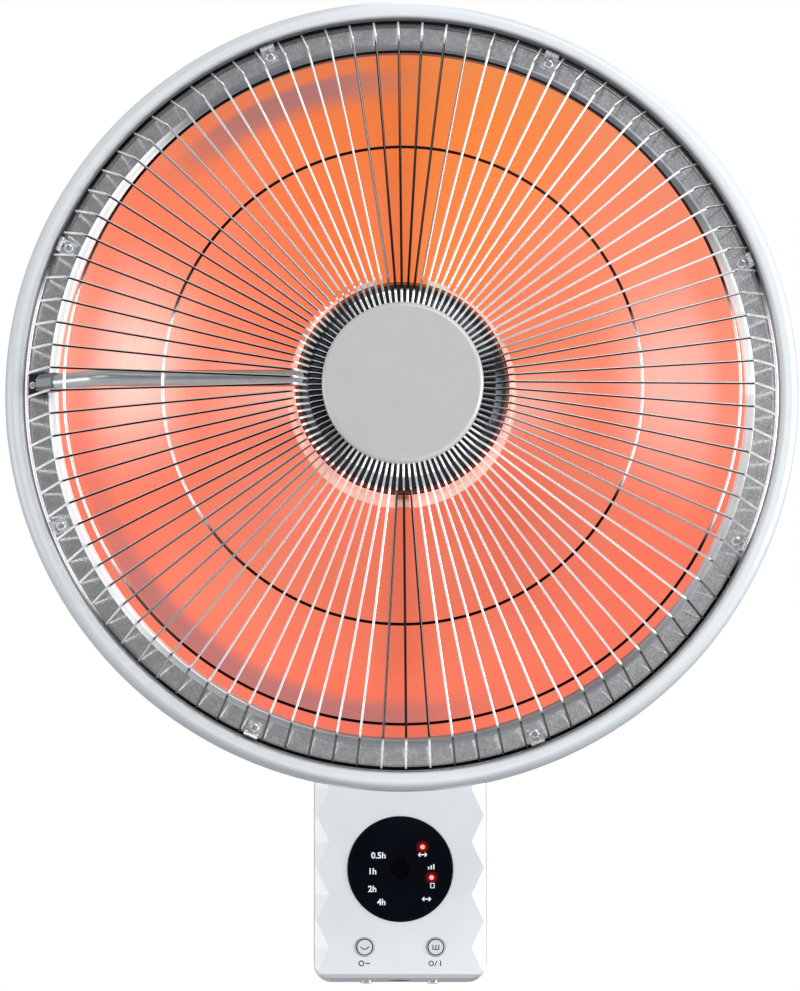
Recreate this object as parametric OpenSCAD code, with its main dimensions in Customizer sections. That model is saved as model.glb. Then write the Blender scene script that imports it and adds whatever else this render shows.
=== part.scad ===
// Wall-mounted dish heater: a control box on the wall, a swinging and tilting neck, and a
// round heater head with a polished dish, a ring lamp and a radial wire guard.
// Axes: +X to the right, +Z up, the front faces -Y. The wall is the plane Y = 0, and the
// origin is the middle of the four wall holes.

/* [Head] */
// Outer diameter of the white ring
ring_d = 450; // [400:5:520]
// Radial width of the white ring
ring_w = 10.5; // [9:0.5:14]
// Visible width of the zinc-coated band and the lip inside it
band_w = 19.9; // [18:0.1:24]
// Focal length of the dish
dish_f = 108; // [90:1:150]
// Radial width of the dish's rolled lip
lip_w = 5.6; // [4.5:0.1:6.5]
// Thickness of the pressed sheets
sheet_t = 1; // [0.8:0.1:1.4]
// Radius of the dish's flat centre
dish_flat_r = 40; // [38:1:46]
// Space between the dish's centre and the back shell
dish_gap = 5; // [4:0.5:8]
// Radius of the back shell's flat centre
shell_flat_r = 60; // [58:1:66]
// Outer radius of the back cover
cover_r = 58; // [52:1:58]
// Height of the back cover behind the shell
cover_h = 44; // [38:1:44]

/* [Guard] */
// Number of radial wires
wire_count = 96; // [72:8:96]
// Diameter of a radial wire
wire_d = 1.6; // [1.2:0.1:2]
// Turn of the whole wire pattern about the head's axis, in degrees
wire_phase = 0.6; // [0:0.1:3]
// Diameter of the thick rim ring wire
rim_wire_d = 2.8; // [2.4:0.1:3.2]
// Diameter of the other ring wires
ring_wire_d = 2; // [1.6:0.1:2.4]
// Radius of the ring in the middle of the guard
middle_ring_r = 135; // [110:1:150]
// Front of the wires at the shoulder round the badge, ahead of the ring's plane
guard_top = 64; // [60:1:75]
// Front of the wires at the outer bend
guard_edge = 41.5; // [38:0.5:46]
// Depth of the wires' dip under the badge
guard_dip = 8; // [6:0.5:9]
// Radius of the centre badge
badge_r = 45.3; // [40:0.1:48]
// Number of guard tabs and rim screws
tab_count = 8; // [4:4:12]

/* [Lamp] */
// Radius of the ring lamp's centreline
lamp_r = 60; // [56:1:64]
// Outer diameter of the quartz tube
lamp_tube_d = 10; // [8:0.5:11]
// Lamp's centreline ahead of the ring's plane
lamp_z = 2; // [0:1:8]
// Outer radius of the cup in front of the lamp
cup_r = 61; // [60:0.5:64]
// Front of the cup ahead of the ring's plane
cup_front = 48.5; // [46:0.5:49]
// Diameter of the chrome arm
arm_d = 9.5; // [8:0.5:10]
// Height of the arm above the head's axis
arm_up = 5; // [0:0.5:6]

/* [Control box] */
// Width of the box
box_w = 100; // [96:1:120]
// Height of the box
box_h = 250; // [240:1:300]
// Distance of the box's face from the wall
box_out = 60; // [58:1:64]
// Distance of the line between the two housings from the wall
parting_out = 44; // [43:0.5:45]
// Wall thickness of the housings
wall = 2.5; // [2:0.1:3]
// Corner radius of the box
corner_r = 10; // [8:0.5:12]
// Height of one zigzag tooth along the face's edge
zigzag_pitch = 30.7; // [24:0.1:30.7]
// Teeth of the zigzag on each side
zigzag_count = 8; // [4:2:8]
// Depth of the chip-carved cuts at the side wall
carve_depth = 8; // [4:0.5:8]
// Width of the face's zigzag
carve_width = 7.3; // [5:0.1:7.5]
// Radius of the display lens
lens_r = 30.7; // [26:0.1:31]
// Height of the display's centre above the box's bottom
lens_up = 63; // [60:1:66]
// Radius of a push key
key_r = 5.4; // [4.5:0.1:5.6]
// Height of the keys above the box's bottom
key_up = 17.8; // [16:0.1:22]
// Distance of a key from the middle of the box
key_side = 20.6; // [18:0.1:22]

/* [Neck] */
// Distance of the swing axis from the wall
neck_out = 28; // [28:0.5:28.5]
// Height of the tilt hinge above the box
hinge_up = 57; // [54:1:70]
// Distance of the tilt hinge from the wall
hinge_out = 42; // [40:1:46]
// Distance from the tilt hinge to the back shell
hinge_reach = 58; // [56:1:66]
// Height of the head's axis above the tilt hinge
head_rise = 18; // [16:1:20]
// Outer radius of the neck shaft
shaft_r = 9; // [8:0.5:9.5]
// Radius of the tilt bolt
tilt_bolt_r = 4; // [3:0.5:4]
// Running clearance of the neck shaft and the tilt bolt
run_gap = 0.06; // [0.03:0.01:0.09]

/* [Swing drive] */
// Module of the gear teeth
gear_module = 0.8; // [0.7:0.05:0.8]
// Teeth of the neck's gear, counted on its full circle
sector_teeth = 45; // [42:3:45]
// Teeth of the motor's pinion
pinion_teeth = 15; // [15:1:17]
// Teeth that the sector has on each side of its middle tooth
sector_side_teeth = 5; // [5:1:6]

/* [Wall mount] */
// Distance between the wall holes across
wall_hole_x = 50; // [40:1:60]
// Distance between the wall holes upwards
wall_hole_z = 160; // [140:1:180]
// Radius of a wall hole
wall_hole_r = 2.75; // [2.25:0.25:3]

/* [Hidden] */

$fn = 48;

white = [0.93, 0.94, 0.95];
chrome = [0.78, 0.8, 0.82];
zinc = [0.6, 0.63, 0.66];
steel = [0.66, 0.68, 0.7];
satin = [0.76, 0.77, 0.76];
dark = [0.24, 0.26, 0.28];
glow = [1, 0.5, 0.35];
board_green = [0.12, 0.35, 0.22];
ceramic = [0.92, 0.9, 0.84];
black = [0.05, 0.05, 0.07];

seat_gap = 0.05; // between faces that rest on each other
fit_gap = 0.03; // round a pin that is fixed in its hole
slip_gap = 0.1; // round a pin that passes through a sheet
move_gap = 0.3; // between faces that move past each other
cut = 1; // how far a cutter reaches past the face it opens

// ---- Places worked out from the driving sizes ----

ring_r = ring_d / 2;
dish_r = ring_r - ring_w - band_w;
lip_r = dish_r + lip_w;
rim_r = ring_r - ring_w - rim_wire_d / 2 - 0.5;
rim_z = 3;
dish_edge_z = -3;
dish_apex_z = dish_edge_z - dish_r * dish_r / (4 * dish_f);
dish_flat_z = dish_apex_z + dish_flat_r * dish_flat_r / (4 * dish_f);
shell_flat_z = dish_flat_z - sheet_t - dish_gap;
shell_back_z = shell_flat_z - sheet_t;
shell_edge_r = ring_r - 14;
shell_edge_z = -9;
shell_step_z = shell_flat_z + 2.4;
hinge_z = box_h / 2 + hinge_up;
head_z = hinge_z + head_rise;
ring_out = hinge_out + hinge_reach - shell_back_z;
tilt_z = hinge_out - ring_out;
wire_pitch = 360 / wire_count;
tab_pitch = 360 / tab_count;
tab_phase = wire_phase + wire_pitch * (floor(tab_pitch / wire_pitch / 2) - 0.5);
lens_z = -box_h / 2 + lens_up;
key_z = -box_h / 2 + key_up;

// Turns a shape drawn as across, up, out of the wall into its place in the room.
module facing() {
    rotate([90, 0, 0]) children();
}

// The head's own frame: across, up, and ahead of the ring's plane.
module head_frame() {
    facing() translate([0, head_z, ring_out]) children();
}

// A block with rounded upright edges, centred across and up.
module rounded_block(w, h, depth, r) {
    translate([-w / 2 + r, -h / 2, 0]) cube([w - 2 * r, h, depth]);
    translate([-w / 2, -h / 2 + r, 0]) cube([w, h - 2 * r, depth]);
    for (sx = [-1, 1], sy = [-1, 1])
        translate([sx * (w / 2 - r), sy * (h / 2 - r), 0]) cylinder(r = r, h = depth);
}

// A cube centred on its first two sides, from z to z + size[2].
module pad(size, z = 0) {
    translate([-size[0] / 2, -size[1] / 2, z]) cube(size);
}

// A straight tube or ring between two levels.
module sleeve(outer, inner, z0, z1) {
    translate([0, 0, z0]) difference() {
        cylinder(r = outer, h = z1 - z0);
        translate([0, 0, -cut]) cylinder(r = inner, h = z1 - z0 + 2 * cut);
    }
}

// A pan-head screw along z: the head sits on level z0 and the shank ends at level z1 below it.
module pan_screw(head_r, head_h, shank_r, z0, z1) {
    translate([0, 0, z0]) cylinder(r = head_r, h = head_h * 0.55);
    translate([0, 0, z0 + head_h * 0.55])
        cylinder(r1 = head_r, r2 = head_r * 0.62, h = head_h * 0.45);
    translate([0, 0, z1]) cylinder(r = shank_r, h = z0 - z1);
}

function along(a, b) = (b - a) / norm(b - a);
function turn(a, b) = a[0] * b[1] - a[1] * b[0];
function bend_angle(p, i) =
    acos(min(1, max(-1, along(p[i - 1], p[i]) * along(p[i], p[i + 1]))));
function trim(p, bends, i) =
    i == 0 || i == len(p) - 1 ? 0 : bends[i] * tan(bend_angle(p, i) / 2);

// An elbow is this much thicker than the straight rod, and laps over its ends by elbow_lap.
elbow_swell = 0.02;
elbow_lap = 0.15;

// A round rod along a flat path in the x-z plane, with an elbow of radius bends[i] at point i.
// With a bore it is a tube.
module bent_rod(path, bends, r, bore = 0) {
    for (i = [0:len(path) - 2]) {
        d = along(path[i], path[i + 1]);
        start = path[i] + d * trim(path, bends, i);
        length = norm(path[i + 1] - path[i]) - trim(path, bends, i) - trim(path, bends, i + 1);
        translate([start[0], 0, start[1]])
            rotate([0, atan2(d[0], d[1]), 0])
                if (bore > 0) sleeve(r, bore, 0, length);
                else cylinder(r = r, h = length, $fn = 24);
    }
    for (i = [1:len(path) - 2]) {
        d0 = along(path[i - 1], path[i]);
        d1 = along(path[i], path[i + 1]);
        side = turn(d0, d1) > 0 ? 1 : -1;
        entry = path[i] - d0 * trim(path, bends, i);
        leave = path[i] + d1 * trim(path, bends, i);
        centre = entry + side * bends[i] * [-d0[1], d0[0]];
        first = side > 0 ? entry - centre : leave - centre;
        lap = elbow_lap / bends[i] * 180 / PI;
        translate([centre[0], 0, centre[1]])
            rotate([90, 0, 0])
                rotate([0, 0, atan2(first[1], first[0])])
                    difference() {
                        elbow(bends[i], r + elbow_swell, bend_angle(path, i), lap);
                        if (bore > 0) elbow(bends[i], bore - elbow_swell, bend_angle(path, i), 2 * lap);
                    }
    }
}

// A bent piece of round rod about the origin, longer than its angle by lap at both ends.
module elbow(bend, r, angle, lap) {
    rotate([0, 0, -lap])
        rotate_extrude(angle = angle + 2 * lap, $fn = 48)
            translate([bend, 0])
                circle(r = r, $fn = 24);
}

function across(v, t) = (v - (v * t) * t) / norm(v - (v * t) * t);
function frames(t, u, i = 0) =
    i == len(t) ? [] : concat([across(u, t[i])], frames(t, across(u, t[i]), i + 1));

// A thin lead swept along points, as one closed skin.
module swept_lead(points, r, sides = 8) {
    count = len(points);
    tangent = [for (i = [0:count - 1])
        along(points[max(0, i - 1)], points[min(count - 1, i + 1)])];
    u = frames(tangent, [0, 1, 0]);
    rings = [for (i = [0:count - 1], k = [0:sides - 1])
        points[i] + r * (cos(360 * k / sides) * u[i] + sin(360 * k / sides) * cross(tangent[i], u[i]))];
    skin = [for (i = [0:count - 2], k = [0:sides - 1])
        let (a = i * sides + k, b = i * sides + (k + 1) % sides)
            each [[b + sides, b, a], [a + sides, b + sides, a]]];
    ends = [[for (k = [0:sides - 1]) k], [for (k = [sides - 1:-1:0]) (count - 1) * sides + k]];
    polyhedron(rings, concat(skin, ends));
}

// ---- Wall plate and control box ----

plate_t = 2;
plate_w = 72;
plate_h = 200;
plate_tab_w = 52;
housing_back = plate_t + 0.2;
hook_x = 24;
hook_z = 60;
hook_w = 12;
hook_rise = 12;
hook_t = 2;
lock_x = 19.4;
lock_out = 9;
lock_r = 2;
lock_tab_z = -box_h / 2 + 8;
slot_gap = 2;

module wall_plate() {
    tab_len = lock_out + 6;
    hook_out = housing_back + wall + 0.4;
    color(zinc) facing() difference() {
        union() {
            pad([plate_w, plate_h, plate_t]);
            translate([-plate_tab_w / 2, lock_tab_z - hook_t, 0])
                cube([plate_tab_w, -plate_h / 2 - lock_tab_z + hook_t + 1, plate_t]);
            translate([-plate_tab_w / 2, lock_tab_z - hook_t, 0])
                cube([plate_tab_w, hook_t, tab_len]);
            for (s = [-1, 1]) translate([s * hook_x - hook_w / 2, hook_z, 0]) {
                cube([hook_w, hook_t, hook_out + hook_t]);
                translate([0, 0, hook_out]) cube([hook_w, hook_rise, hook_t]);
            }
        }
        for (sx = [-1, 1], sz = [-1, 1])
            translate([sx * wall_hole_x / 2, sz * wall_hole_z / 2, -cut])
                cylinder(r = wall_hole_r, h = plate_t + 2 * cut);
        for (s = [-1, 1])
            translate([s * lock_x, lock_tab_z - hook_t - cut, lock_out])
                rotate([-90, 0, 0]) cylinder(r = lock_r + fit_gap, h = hook_t + 2 * cut);
    }
}

post_x = box_w / 2 - 8;
post_z = box_h / 2 - 12;
post_r = 4.5;
post_head_depth = 4;
screw_r = 1.5;
screw_end_out = box_out - 5;
bush_r = 13;
bush_len = 15;
bush_flange_r = neck_out - 12.2;
boss_r = min(bush_flange_r, parting_out - neck_out) - 0.1;
shelf_z = box_h / 2 - 29;
shelf_t = 2.5;
motor_r = 14;
motor_h = 19;
motor_offset = 8;
motor_ear = 17.3;
motor_ear_r = 3;
gear_distance = gear_module * (sector_teeth + pinion_teeth) / 2 + 0.1;
motor_x = gear_distance + motor_offset;
gland_out = 26;
gland_r = 7;
board_out = housing_back + wall + 5.3;
board_t = 1.6;
power_board_w = 76;
power_board_low = -55;
power_board_high = 40;
board_screw_r = 1.2;
board_post_r = 3;
vent_count = 8;
vent_pitch = 8;

// The four corners of the power board's fixing pattern.
module at_power_board_corners() {
    for (sx = [-1, 1], z = [power_board_low + 6, power_board_high - 6])
        translate([sx * (power_board_w / 2 - 5), z, 0]) children();
}

// The four corner posts that join the two housings.
module at_posts() {
    for (sx = [-1, 1], sz = [-1, 1]) translate([sx * post_x, sz * post_z, 0]) children();
}

// The motor's two fixing ears, seen from above.
module at_motor_ears() {
    for (s = [0, 180])
        translate([motor_x, -neck_out, 0]) rotate([0, 0, 135 + s]) translate([motor_ear, 0, 0])
            children();
}

module rear_housing() {
    inner_out = housing_back + wall;
    color(white) difference() {
        union() {
            facing() translate([0, 0, housing_back]) difference() {
                rounded_block(box_w, box_h, parting_out - housing_back, corner_r);
                translate([0, 0, wall])
                    rounded_block(box_w - 2 * wall, box_h - 2 * wall, parting_out, corner_r - wall);
            }
            facing() at_posts()
                translate([0, 0, housing_back]) cylinder(r = post_r, h = parting_out - housing_back);
            facing() at_power_board_corners()
                translate([0, 0, housing_back]) cylinder(r = board_post_r, h = board_out - housing_back);
            translate([0, -neck_out, box_h / 2 - bush_len]) cylinder(r = boss_r, h = bush_len - 0.5);
            translate([14, -parting_out + 2, shelf_z])
                cube([box_w / 2 - 14 - wall / 2, parting_out - 2 - inner_out + wall / 2, shelf_t]);
        }
        facing() at_posts() {
            translate([0, 0, housing_back - cut]) cylinder(r = screw_r * 2 + 0.3, h = post_head_depth + cut);
            cylinder(r = screw_r + slip_gap, h = parting_out + cut);
        }
        facing() at_power_board_corners()
            translate([0, 0, board_out - 4.5]) cylinder(r = board_screw_r + fit_gap, h = 4.5 + cut);
        for (s = [-1, 1]) {
            facing() translate([s * hook_x - hook_w / 2 - slot_gap, hook_z - hook_rise, 0])
                cube([hook_w + 2 * slot_gap, hook_rise + hook_t + slip_gap, inner_out + cut]);
            translate([s * lock_x, -lock_out, -box_h / 2 - cut])
                cylinder(r = lock_r + slip_gap, h = wall + 2 * cut);
            for (k = [0:vent_count - 1])
                translate([s * box_w / 2 - 4, -parting_out + 8, -30 + vent_pitch * k]) cube([8, 24, 2.4]);
        }
        facing() translate([-plate_tab_w / 2 - 1, lock_tab_z - hook_t - 1, 0])
            cube([plate_tab_w + 2, hook_t + 2, inner_out + cut]);
        translate([0, -gland_out, -box_h / 2 - cut]) cylinder(r = gland_r + fit_gap, h = wall + 2 * cut);
        translate([0, -neck_out, box_h / 2 - bush_len - cut])
            cylinder(r = bush_r + fit_gap, h = bush_len + 2 * cut);
        translate([gear_distance, -neck_out, shelf_z - cut]) cylinder(r = 5, h = shelf_t + 2 * cut);
        at_motor_ears() translate([0, 0, shelf_z - cut]) cylinder(r = 1.6, h = shelf_t + 2 * cut);
    }
}

face_inner_x = box_w / 2 - 1.3 - carve_width;
thick_out = box_out - carve_depth - 2.5;
display_post_r = 3;
display_board_out = box_out - wall - 4.5;
display_board_w = 74;
display_board_low = -box_h / 2 + 7;
display_board_high = -box_h / 2 + 99;
lens_t = 2.8;
lens_seat = 2;
lens_ledge = 3.2;
key_hole_r = key_r + move_gap;
edge_chamfer = 1.6;

// The four corners of the display board's fixing pattern.
module at_display_corners() {
    for (sx = [-1, 1], z = [display_board_low + 5, display_board_high - 5])
        translate([sx * (display_board_w / 2 - 4), z, 0]) children();
}

// One V-shaped cut in the face's edge. Its valley runs from the face out to the side wall.
module carved_cut(z) {
    apex = [face_inner_x, z, box_out];
    low = [carve_width, -zigzag_pitch / 2, 0];
    high = [carve_width, zigzag_pitch / 2, 0];
    valley = [box_w / 2 - face_inner_x, 0, -carve_depth];
    near = apex - 0.5 * valley;
    far = apex + 1.5 * valley;
    polyhedron(
        [near, near + 2 * low, near + 2 * high, far, far + 2 * low, far + 2 * high],
        [[0, 2, 1], [3, 4, 5], [0, 1, 4], [0, 4, 3], [1, 2, 5], [1, 5, 4], [2, 0, 3], [2, 3, 5]]);
}

module front_housing() {
    first_cut = -zigzag_pitch * (zigzag_count - 1) / 2;
    color(white) facing() difference() {
        union() {
            difference() {
                translate([0, 0, parting_out]) rounded_block(box_w, box_h, box_out - parting_out, corner_r);
                translate([0, 0, parting_out - cut])
                    rounded_block(box_w - 2 * wall, box_h - 2 * wall, thick_out - parting_out + cut,
                                  corner_r - wall);
                translate([0, 0, thick_out - cut])
                    pad([2 * face_inner_x - 6, box_h - 2 * wall - 5, box_out - wall - thick_out + cut]);
            }
            at_posts() translate([0, 0, parting_out])
                cylinder(r = post_r - 0.5, h = box_out - wall - parting_out);
            at_display_corners()
                translate([0, 0, display_board_out])
                    cylinder(r = display_post_r, h = box_out - wall / 2 - display_board_out);
        }
        at_posts() translate([0, 0, parting_out - cut])
            cylinder(r = screw_r + fit_gap, h = screw_end_out + 0.5 - parting_out + cut);
        at_display_corners() translate([0, 0, display_board_out - cut])
            cylinder(r = board_screw_r + fit_gap, h = 3.5 + cut);
        translate([0, lens_z, box_out - lens_seat]) cylinder(r = lens_r + seat_gap, h = lens_seat + cut);
        translate([0, lens_z, box_out - wall - cut]) cylinder(r = lens_r - lens_ledge, h = wall + 2 * cut);
        for (s = [-1, 1]) {
            translate([s * key_side, key_z, box_out - wall - cut])
                cylinder(r = key_hole_r, h = wall + 2 * cut);
            translate([0, s * box_h / 2, box_out]) rotate([45, 0, 0])
                pad([box_w + 2, edge_chamfer * 2, edge_chamfer * 2], -edge_chamfer);
            mirror([s < 0 ? 1 : 0, 0, 0])
                for (k = [0:zigzag_count - 1]) carved_cut(first_cut + k * zigzag_pitch);
        }
    }
}

module housing_screws() {
    head_out = housing_back + post_head_depth;
    color(steel) facing() at_posts() mirror([0, 0, 1])
        pan_screw(screw_r * 2, 2.4, screw_r, -head_out, -screw_end_out);
}

module lock_screws() {
    color(steel) for (s = [-1, 1])
        translate([s * lock_x, -lock_out, -box_h / 2]) mirror([0, 0, 1])
            pan_screw(3.5, 1.2, lock_r, 0, -(lock_tab_z + box_h / 2 + 2));
}

module display_lens() {
    rear_out = box_out - lens_seat;
    color(black) facing() translate([0, lens_z, rear_out]) {
        cylinder(r = lens_r, h = lens_t - 0.8);
        translate([0, 0, lens_t - 0.8]) cylinder(r1 = lens_r, r2 = lens_r - 1.1, h = 0.8);
    }
}

module display_board() {
    mid = (display_board_low + display_board_high) / 2;
    color(board_green) facing() difference() {
        translate([0, mid, 0])
            pad([display_board_w, display_board_high - display_board_low, board_t],
                display_board_out - board_t);
        at_display_corners() translate([0, 0, display_board_out - board_t - cut])
            cylinder(r = board_screw_r + slip_gap, h = board_t + 2 * cut);
    }
}

light_places = [
    [-13.6, 7.6], [-17, -1.7], [-17, -11.6], [-11.9, -19.2], [12.9, 12.8], [18.1, -4.9], [15, -21]
];

module indicator_lights() {
    tip_out = box_out - lens_seat - 0.4;
    color("red") facing() for (p = light_places)
        translate([p[0], lens_z + p[1], display_board_out]) {
            cylinder(r = 2, h = 1);
            cylinder(r = 1.5, h = tip_out - display_board_out);
        }
}

module remote_receiver() {
    color(black) facing() translate([0, lens_z, 0]) {
        pad([7, 6, 3], display_board_out);
        translate([0, 0, display_board_out + 3]) cylinder(r1 = 2.6, r2 = 1.8, h = 1.3);
    }
}

module button_switches() {
    color(black) facing() for (s = [-1, 1]) translate([s * key_side, key_z, 0]) {
        pad([6, 6, 1.6], display_board_out);
        translate([0, 0, display_board_out + 1.6]) cylinder(r = 1.7, h = 0.6);
    }
}

// A push key: the cap passes through the face and a collar behind it keeps it in.
module push_key(side) {
    cap_front = box_out + 0.6;
    collar_t = 0.8;
    collar_front = box_out - wall - 0.15;
    color(white) facing() translate([side * key_side, key_z, 0]) {
        translate([0, 0, collar_front - collar_t]) cylinder(r = key_r + 1.2, h = collar_t);
        translate([0, 0, collar_front - collar_t])
            cylinder(r = key_r, h = cap_front - 0.5 - collar_front + collar_t);
        translate([0, 0, cap_front - 0.5]) cylinder(r1 = key_r, r2 = key_r - 0.5, h = 0.5);
    }
}

module timer_button() {
    push_key(-1);
}

module power_button() {
    push_key(1);
}

module power_board() {
    mid = (power_board_low + power_board_high) / 2;
    color(board_green) facing() difference() {
        translate([0, mid, 0])
            pad([power_board_w, power_board_high - power_board_low, board_t], board_out);
        at_power_board_corners() translate([0, 0, board_out - cut])
            cylinder(r = board_screw_r + slip_gap, h = board_t + 2 * cut);
    }
}

module power_board_parts() {
    top = board_out + board_t;
    color(dark) facing() {
        translate([-14, 8, 0]) pad([30, 26, 21], top);
        for (y = [12, -6]) translate([20, y, 0]) pad([16, 13, 16], top);
        translate([-22, -22, top]) cylinder(r = 6.5, h = 18);
        translate([-4, -24, top]) cylinder(r = 4, h = 12);
        translate([14, -36, 0]) pad([34, 9, 11], top);
    }
}

module board_screws() {
    color(steel) facing() {
        at_power_board_corners()
            pan_screw(2.3, 1.6, board_screw_r, board_out + board_t, board_out - 4.3);
        at_display_corners() mirror([0, 0, 1])
            pan_screw(2.3, 1.6, board_screw_r, -(display_board_out - board_t), -(display_board_out + 3.3));
    }
}

module buzzer() {
    color(black) facing() translate([-24, 30, board_out + board_t]) difference() {
        cylinder(r = 6, h = 7.5);
        translate([0, 0, 6]) cylinder(r = 1, h = 3);
    }
}

module terminal_block() {
    base = housing_back + wall;
    color(ceramic) facing() translate([0, -box_h / 2 + 38, 0]) difference() {
        pad([44, 16, 13], base);
        for (k = [-1, 0, 1]) {
            translate([k * 14, 3, base + 6]) cylinder(r = 2.6, h = 8);
            translate([k * 14, -3, base + 6]) cylinder(r = 2.6, h = 8);
        }
    }
}

module cord_gland() {
    color(black) translate([0, -gland_out, -box_h / 2]) difference() {
        union() {
            cylinder(r = gland_r, h = wall + 0.02);
            translate([0, 0, wall + 0.02]) cylinder(r = gland_r + 2.5, h = 2.4);
            translate([0, 0, wall + 2.42]) cylinder(r1 = gland_r, r2 = 5.2, h = 6);
        }
        translate([0, 0, -cut]) cylinder(r = 3.6, h = wall + 8.4 + 2 * cut);
    }
}

// ---- Neck and swing drive ----

flange_t = 2;
washer_t = 1;
washer_z = box_h / 2 + flange_t + run_gap;
neck_bottom_z = washer_z + washer_t;
shaft_bore_r = shaft_r - 2.5;
gear_z = box_h / 2 - 21.6;
gear_t = 6;
clip_z = gear_z - 1.1;
shaft_bottom_z = clip_z - 3.3;
shaft_top_z = neck_bottom_z + 30;
key_w = 3;
key_reach = 1.8;

module swivel_bush() {
    color(dark) translate([0, -neck_out, box_h / 2]) difference() {
        union() {
            translate([0, 0, -bush_len]) cylinder(r = bush_r, h = bush_len);
            translate([0, 0, 0.01]) cylinder(r = bush_flange_r, h = flange_t - 0.01);
        }
        translate([0, 0, -bush_len - cut]) cylinder(r = shaft_r + run_gap, h = bush_len + flange_t + 2 * cut);
    }
}

module swing_motor() {
    color(steel) {
        translate([motor_x, -neck_out, shelf_z - motor_h]) cylinder(r = motor_r, h = motor_h - 0.02);
        difference() {
            hull() at_motor_ears() translate([0, 0, shelf_z - 0.82])
                cylinder(r = motor_ear_r, h = 0.8, $fn = 32);
            at_motor_ears() translate([0, 0, shelf_z - 3]) cylinder(r = 1.6, h = 5);
        }
        difference() {
            translate([gear_distance, -neck_out, shelf_z - 0.1]) cylinder(r = 4.5, h = 1.6);
            translate([gear_distance, -neck_out, shelf_z + 0.5]) cylinder(r = 2.7, h = 3);
        }
    }
}

module motor_screws() {
    color(steel) at_motor_ears() mirror([0, 0, 1])
        pan_screw(2.8, 1.8, 1.5, -(shelf_z - 0.85), -(shelf_z + shelf_t + 0.6));
}

module neck_shaft() {
    color(steel) translate([0, -neck_out, 0]) difference() {
        sleeve(shaft_r, shaft_bore_r, shaft_bottom_z, shaft_top_z);
        sleeve(shaft_r + cut, shaft_r - 1, clip_z - 1.05, clip_z + 0.05);
        translate([-shaft_r - cut, -key_w / 2 - slip_gap, shaft_bottom_z - cut])
            cube([4, key_w + 2 * slip_gap, gear_z + gear_t + 0.3 - shaft_bottom_z + cut]);
    }
}

function involute(a) = tan(a) - a * PI / 180;
function flank(teeth, r) =
    let (rb = gear_module * teeth / 2 * cos(20),
         half = 90 / teeth - 0.06 * 180 / PI / (gear_module * teeth),
         a = r > rb ? acos(rb / r) : 0)
        half + (involute(20) - involute(a)) * 180 / PI;
function tooth(teeth, i, steps = 5) =
    let (rp = gear_module * teeth / 2,
         root = rp - 1.05 * gear_module,
         tip = rp + 0.8 * gear_module,
         rise = [for (k = [0:steps]) root + (tip - root) * k / steps])
        concat(
            [for (r = rise)
                r * [cos(360 * i / teeth - flank(teeth, r)), sin(360 * i / teeth - flank(teeth, r))]],
            [for (k = [steps:-1:0])
                let (r = rise[k])
                    r * [cos(360 * i / teeth + flank(teeth, r)), sin(360 * i / teeth + flank(teeth, r))]]);

module sector_gear() {
    color("ivory") translate([0, -neck_out, gear_z]) {
        difference() {
            union() {
                linear_extrude(height = gear_t)
                    polygon(concat([[0, 0]],
                        [for (i = [-sector_side_teeth:sector_side_teeth]) each tooth(sector_teeth, i)]));
                cylinder(r = shaft_r + 3.5, h = gear_t);
            }
            translate([0, 0, -cut]) cylinder(r = shaft_r + fit_gap, h = gear_t + 2 * cut);
        }
        translate([-shaft_r - 2, -key_w / 2, 0]) cube([key_reach + 2, key_w, gear_t]);
    }
}

module swing_pinion() {
    color("ivory") translate([gear_distance, -neck_out, 0]) difference() {
        union() {
            translate([0, 0, gear_z]) linear_extrude(height = gear_t)
                polygon([for (i = [0:pinion_teeth - 1]) each tooth(pinion_teeth, i)]);
            translate([0, 0, gear_z - 2.2]) cylinder(r = 4.2, h = 2.3);
        }
        translate([0, 0, gear_z - 2.2 - cut]) cylinder(r = 2.5 + fit_gap, h = gear_t + 2.2 + 2 * cut);
    }
}

module motor_shaft() {
    color(steel) translate([gear_distance, -neck_out, shelf_z + 0.6])
        cylinder(r = 2.5, h = gear_z + gear_t - shelf_z);
}

module shaft_clip() {
    color(steel) translate([0, -neck_out, 0]) difference() {
        sleeve(shaft_r + 2.8, shaft_r - 1 + fit_gap, clip_z - 1, clip_z);
        translate([-4, 0, clip_z - 2]) cube([8, shaft_r + 6, 4]);
    }
}

module thrust_washer() {
    color(steel) translate([0, -neck_out, 0])
        sleeve(bush_flange_r - 0.8, shaft_r + slip_gap, washer_z, neck_bottom_z);
}

stem_r = 14;
barrel_r = 11;
barrel_half = 12;

module neck_arm() {
    color(white) difference() {
        union() {
            translate([0, -neck_out, neck_bottom_z]) cylinder(r = stem_r, h = 22);
            hull() {
                translate([0, -neck_out, neck_bottom_z + 18]) cylinder(r = stem_r - 0.05, h = 4, $fn = 64);
                translate([-barrel_half + 0.05, -hinge_out, hinge_z]) rotate([0, 90, 0])
                    cylinder(r = barrel_r - 0.05, h = 2 * barrel_half - 0.1, $fn = 64);
            }
            translate([-barrel_half, -hinge_out, hinge_z]) rotate([0, 90, 0])
                cylinder(r = barrel_r, h = 2 * barrel_half);
        }
        translate([0, -neck_out, neck_bottom_z - cut])
            cylinder(r = shaft_r + fit_gap, h = 30 + cut + seat_gap);
        translate([0, -neck_out + 5, neck_bottom_z]) cylinder(r = 3.4, h = hinge_up + 20);
        translate([-barrel_half - cut, -hinge_out, hinge_z]) rotate([0, 90, 0])
            cylinder(r = tilt_bolt_r + run_gap, h = 2 * (barrel_half + cut));
        for (s = [0, 1]) mirror([s, 0, 0]) translate([barrel_half, -hinge_out, hinge_z]) rotate([0, 90, 0])
            cylinder(r = ear_r + 1.5, h = stem_r);
    }
}

// ---- Tilt hinge and back of the head ----

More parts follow.
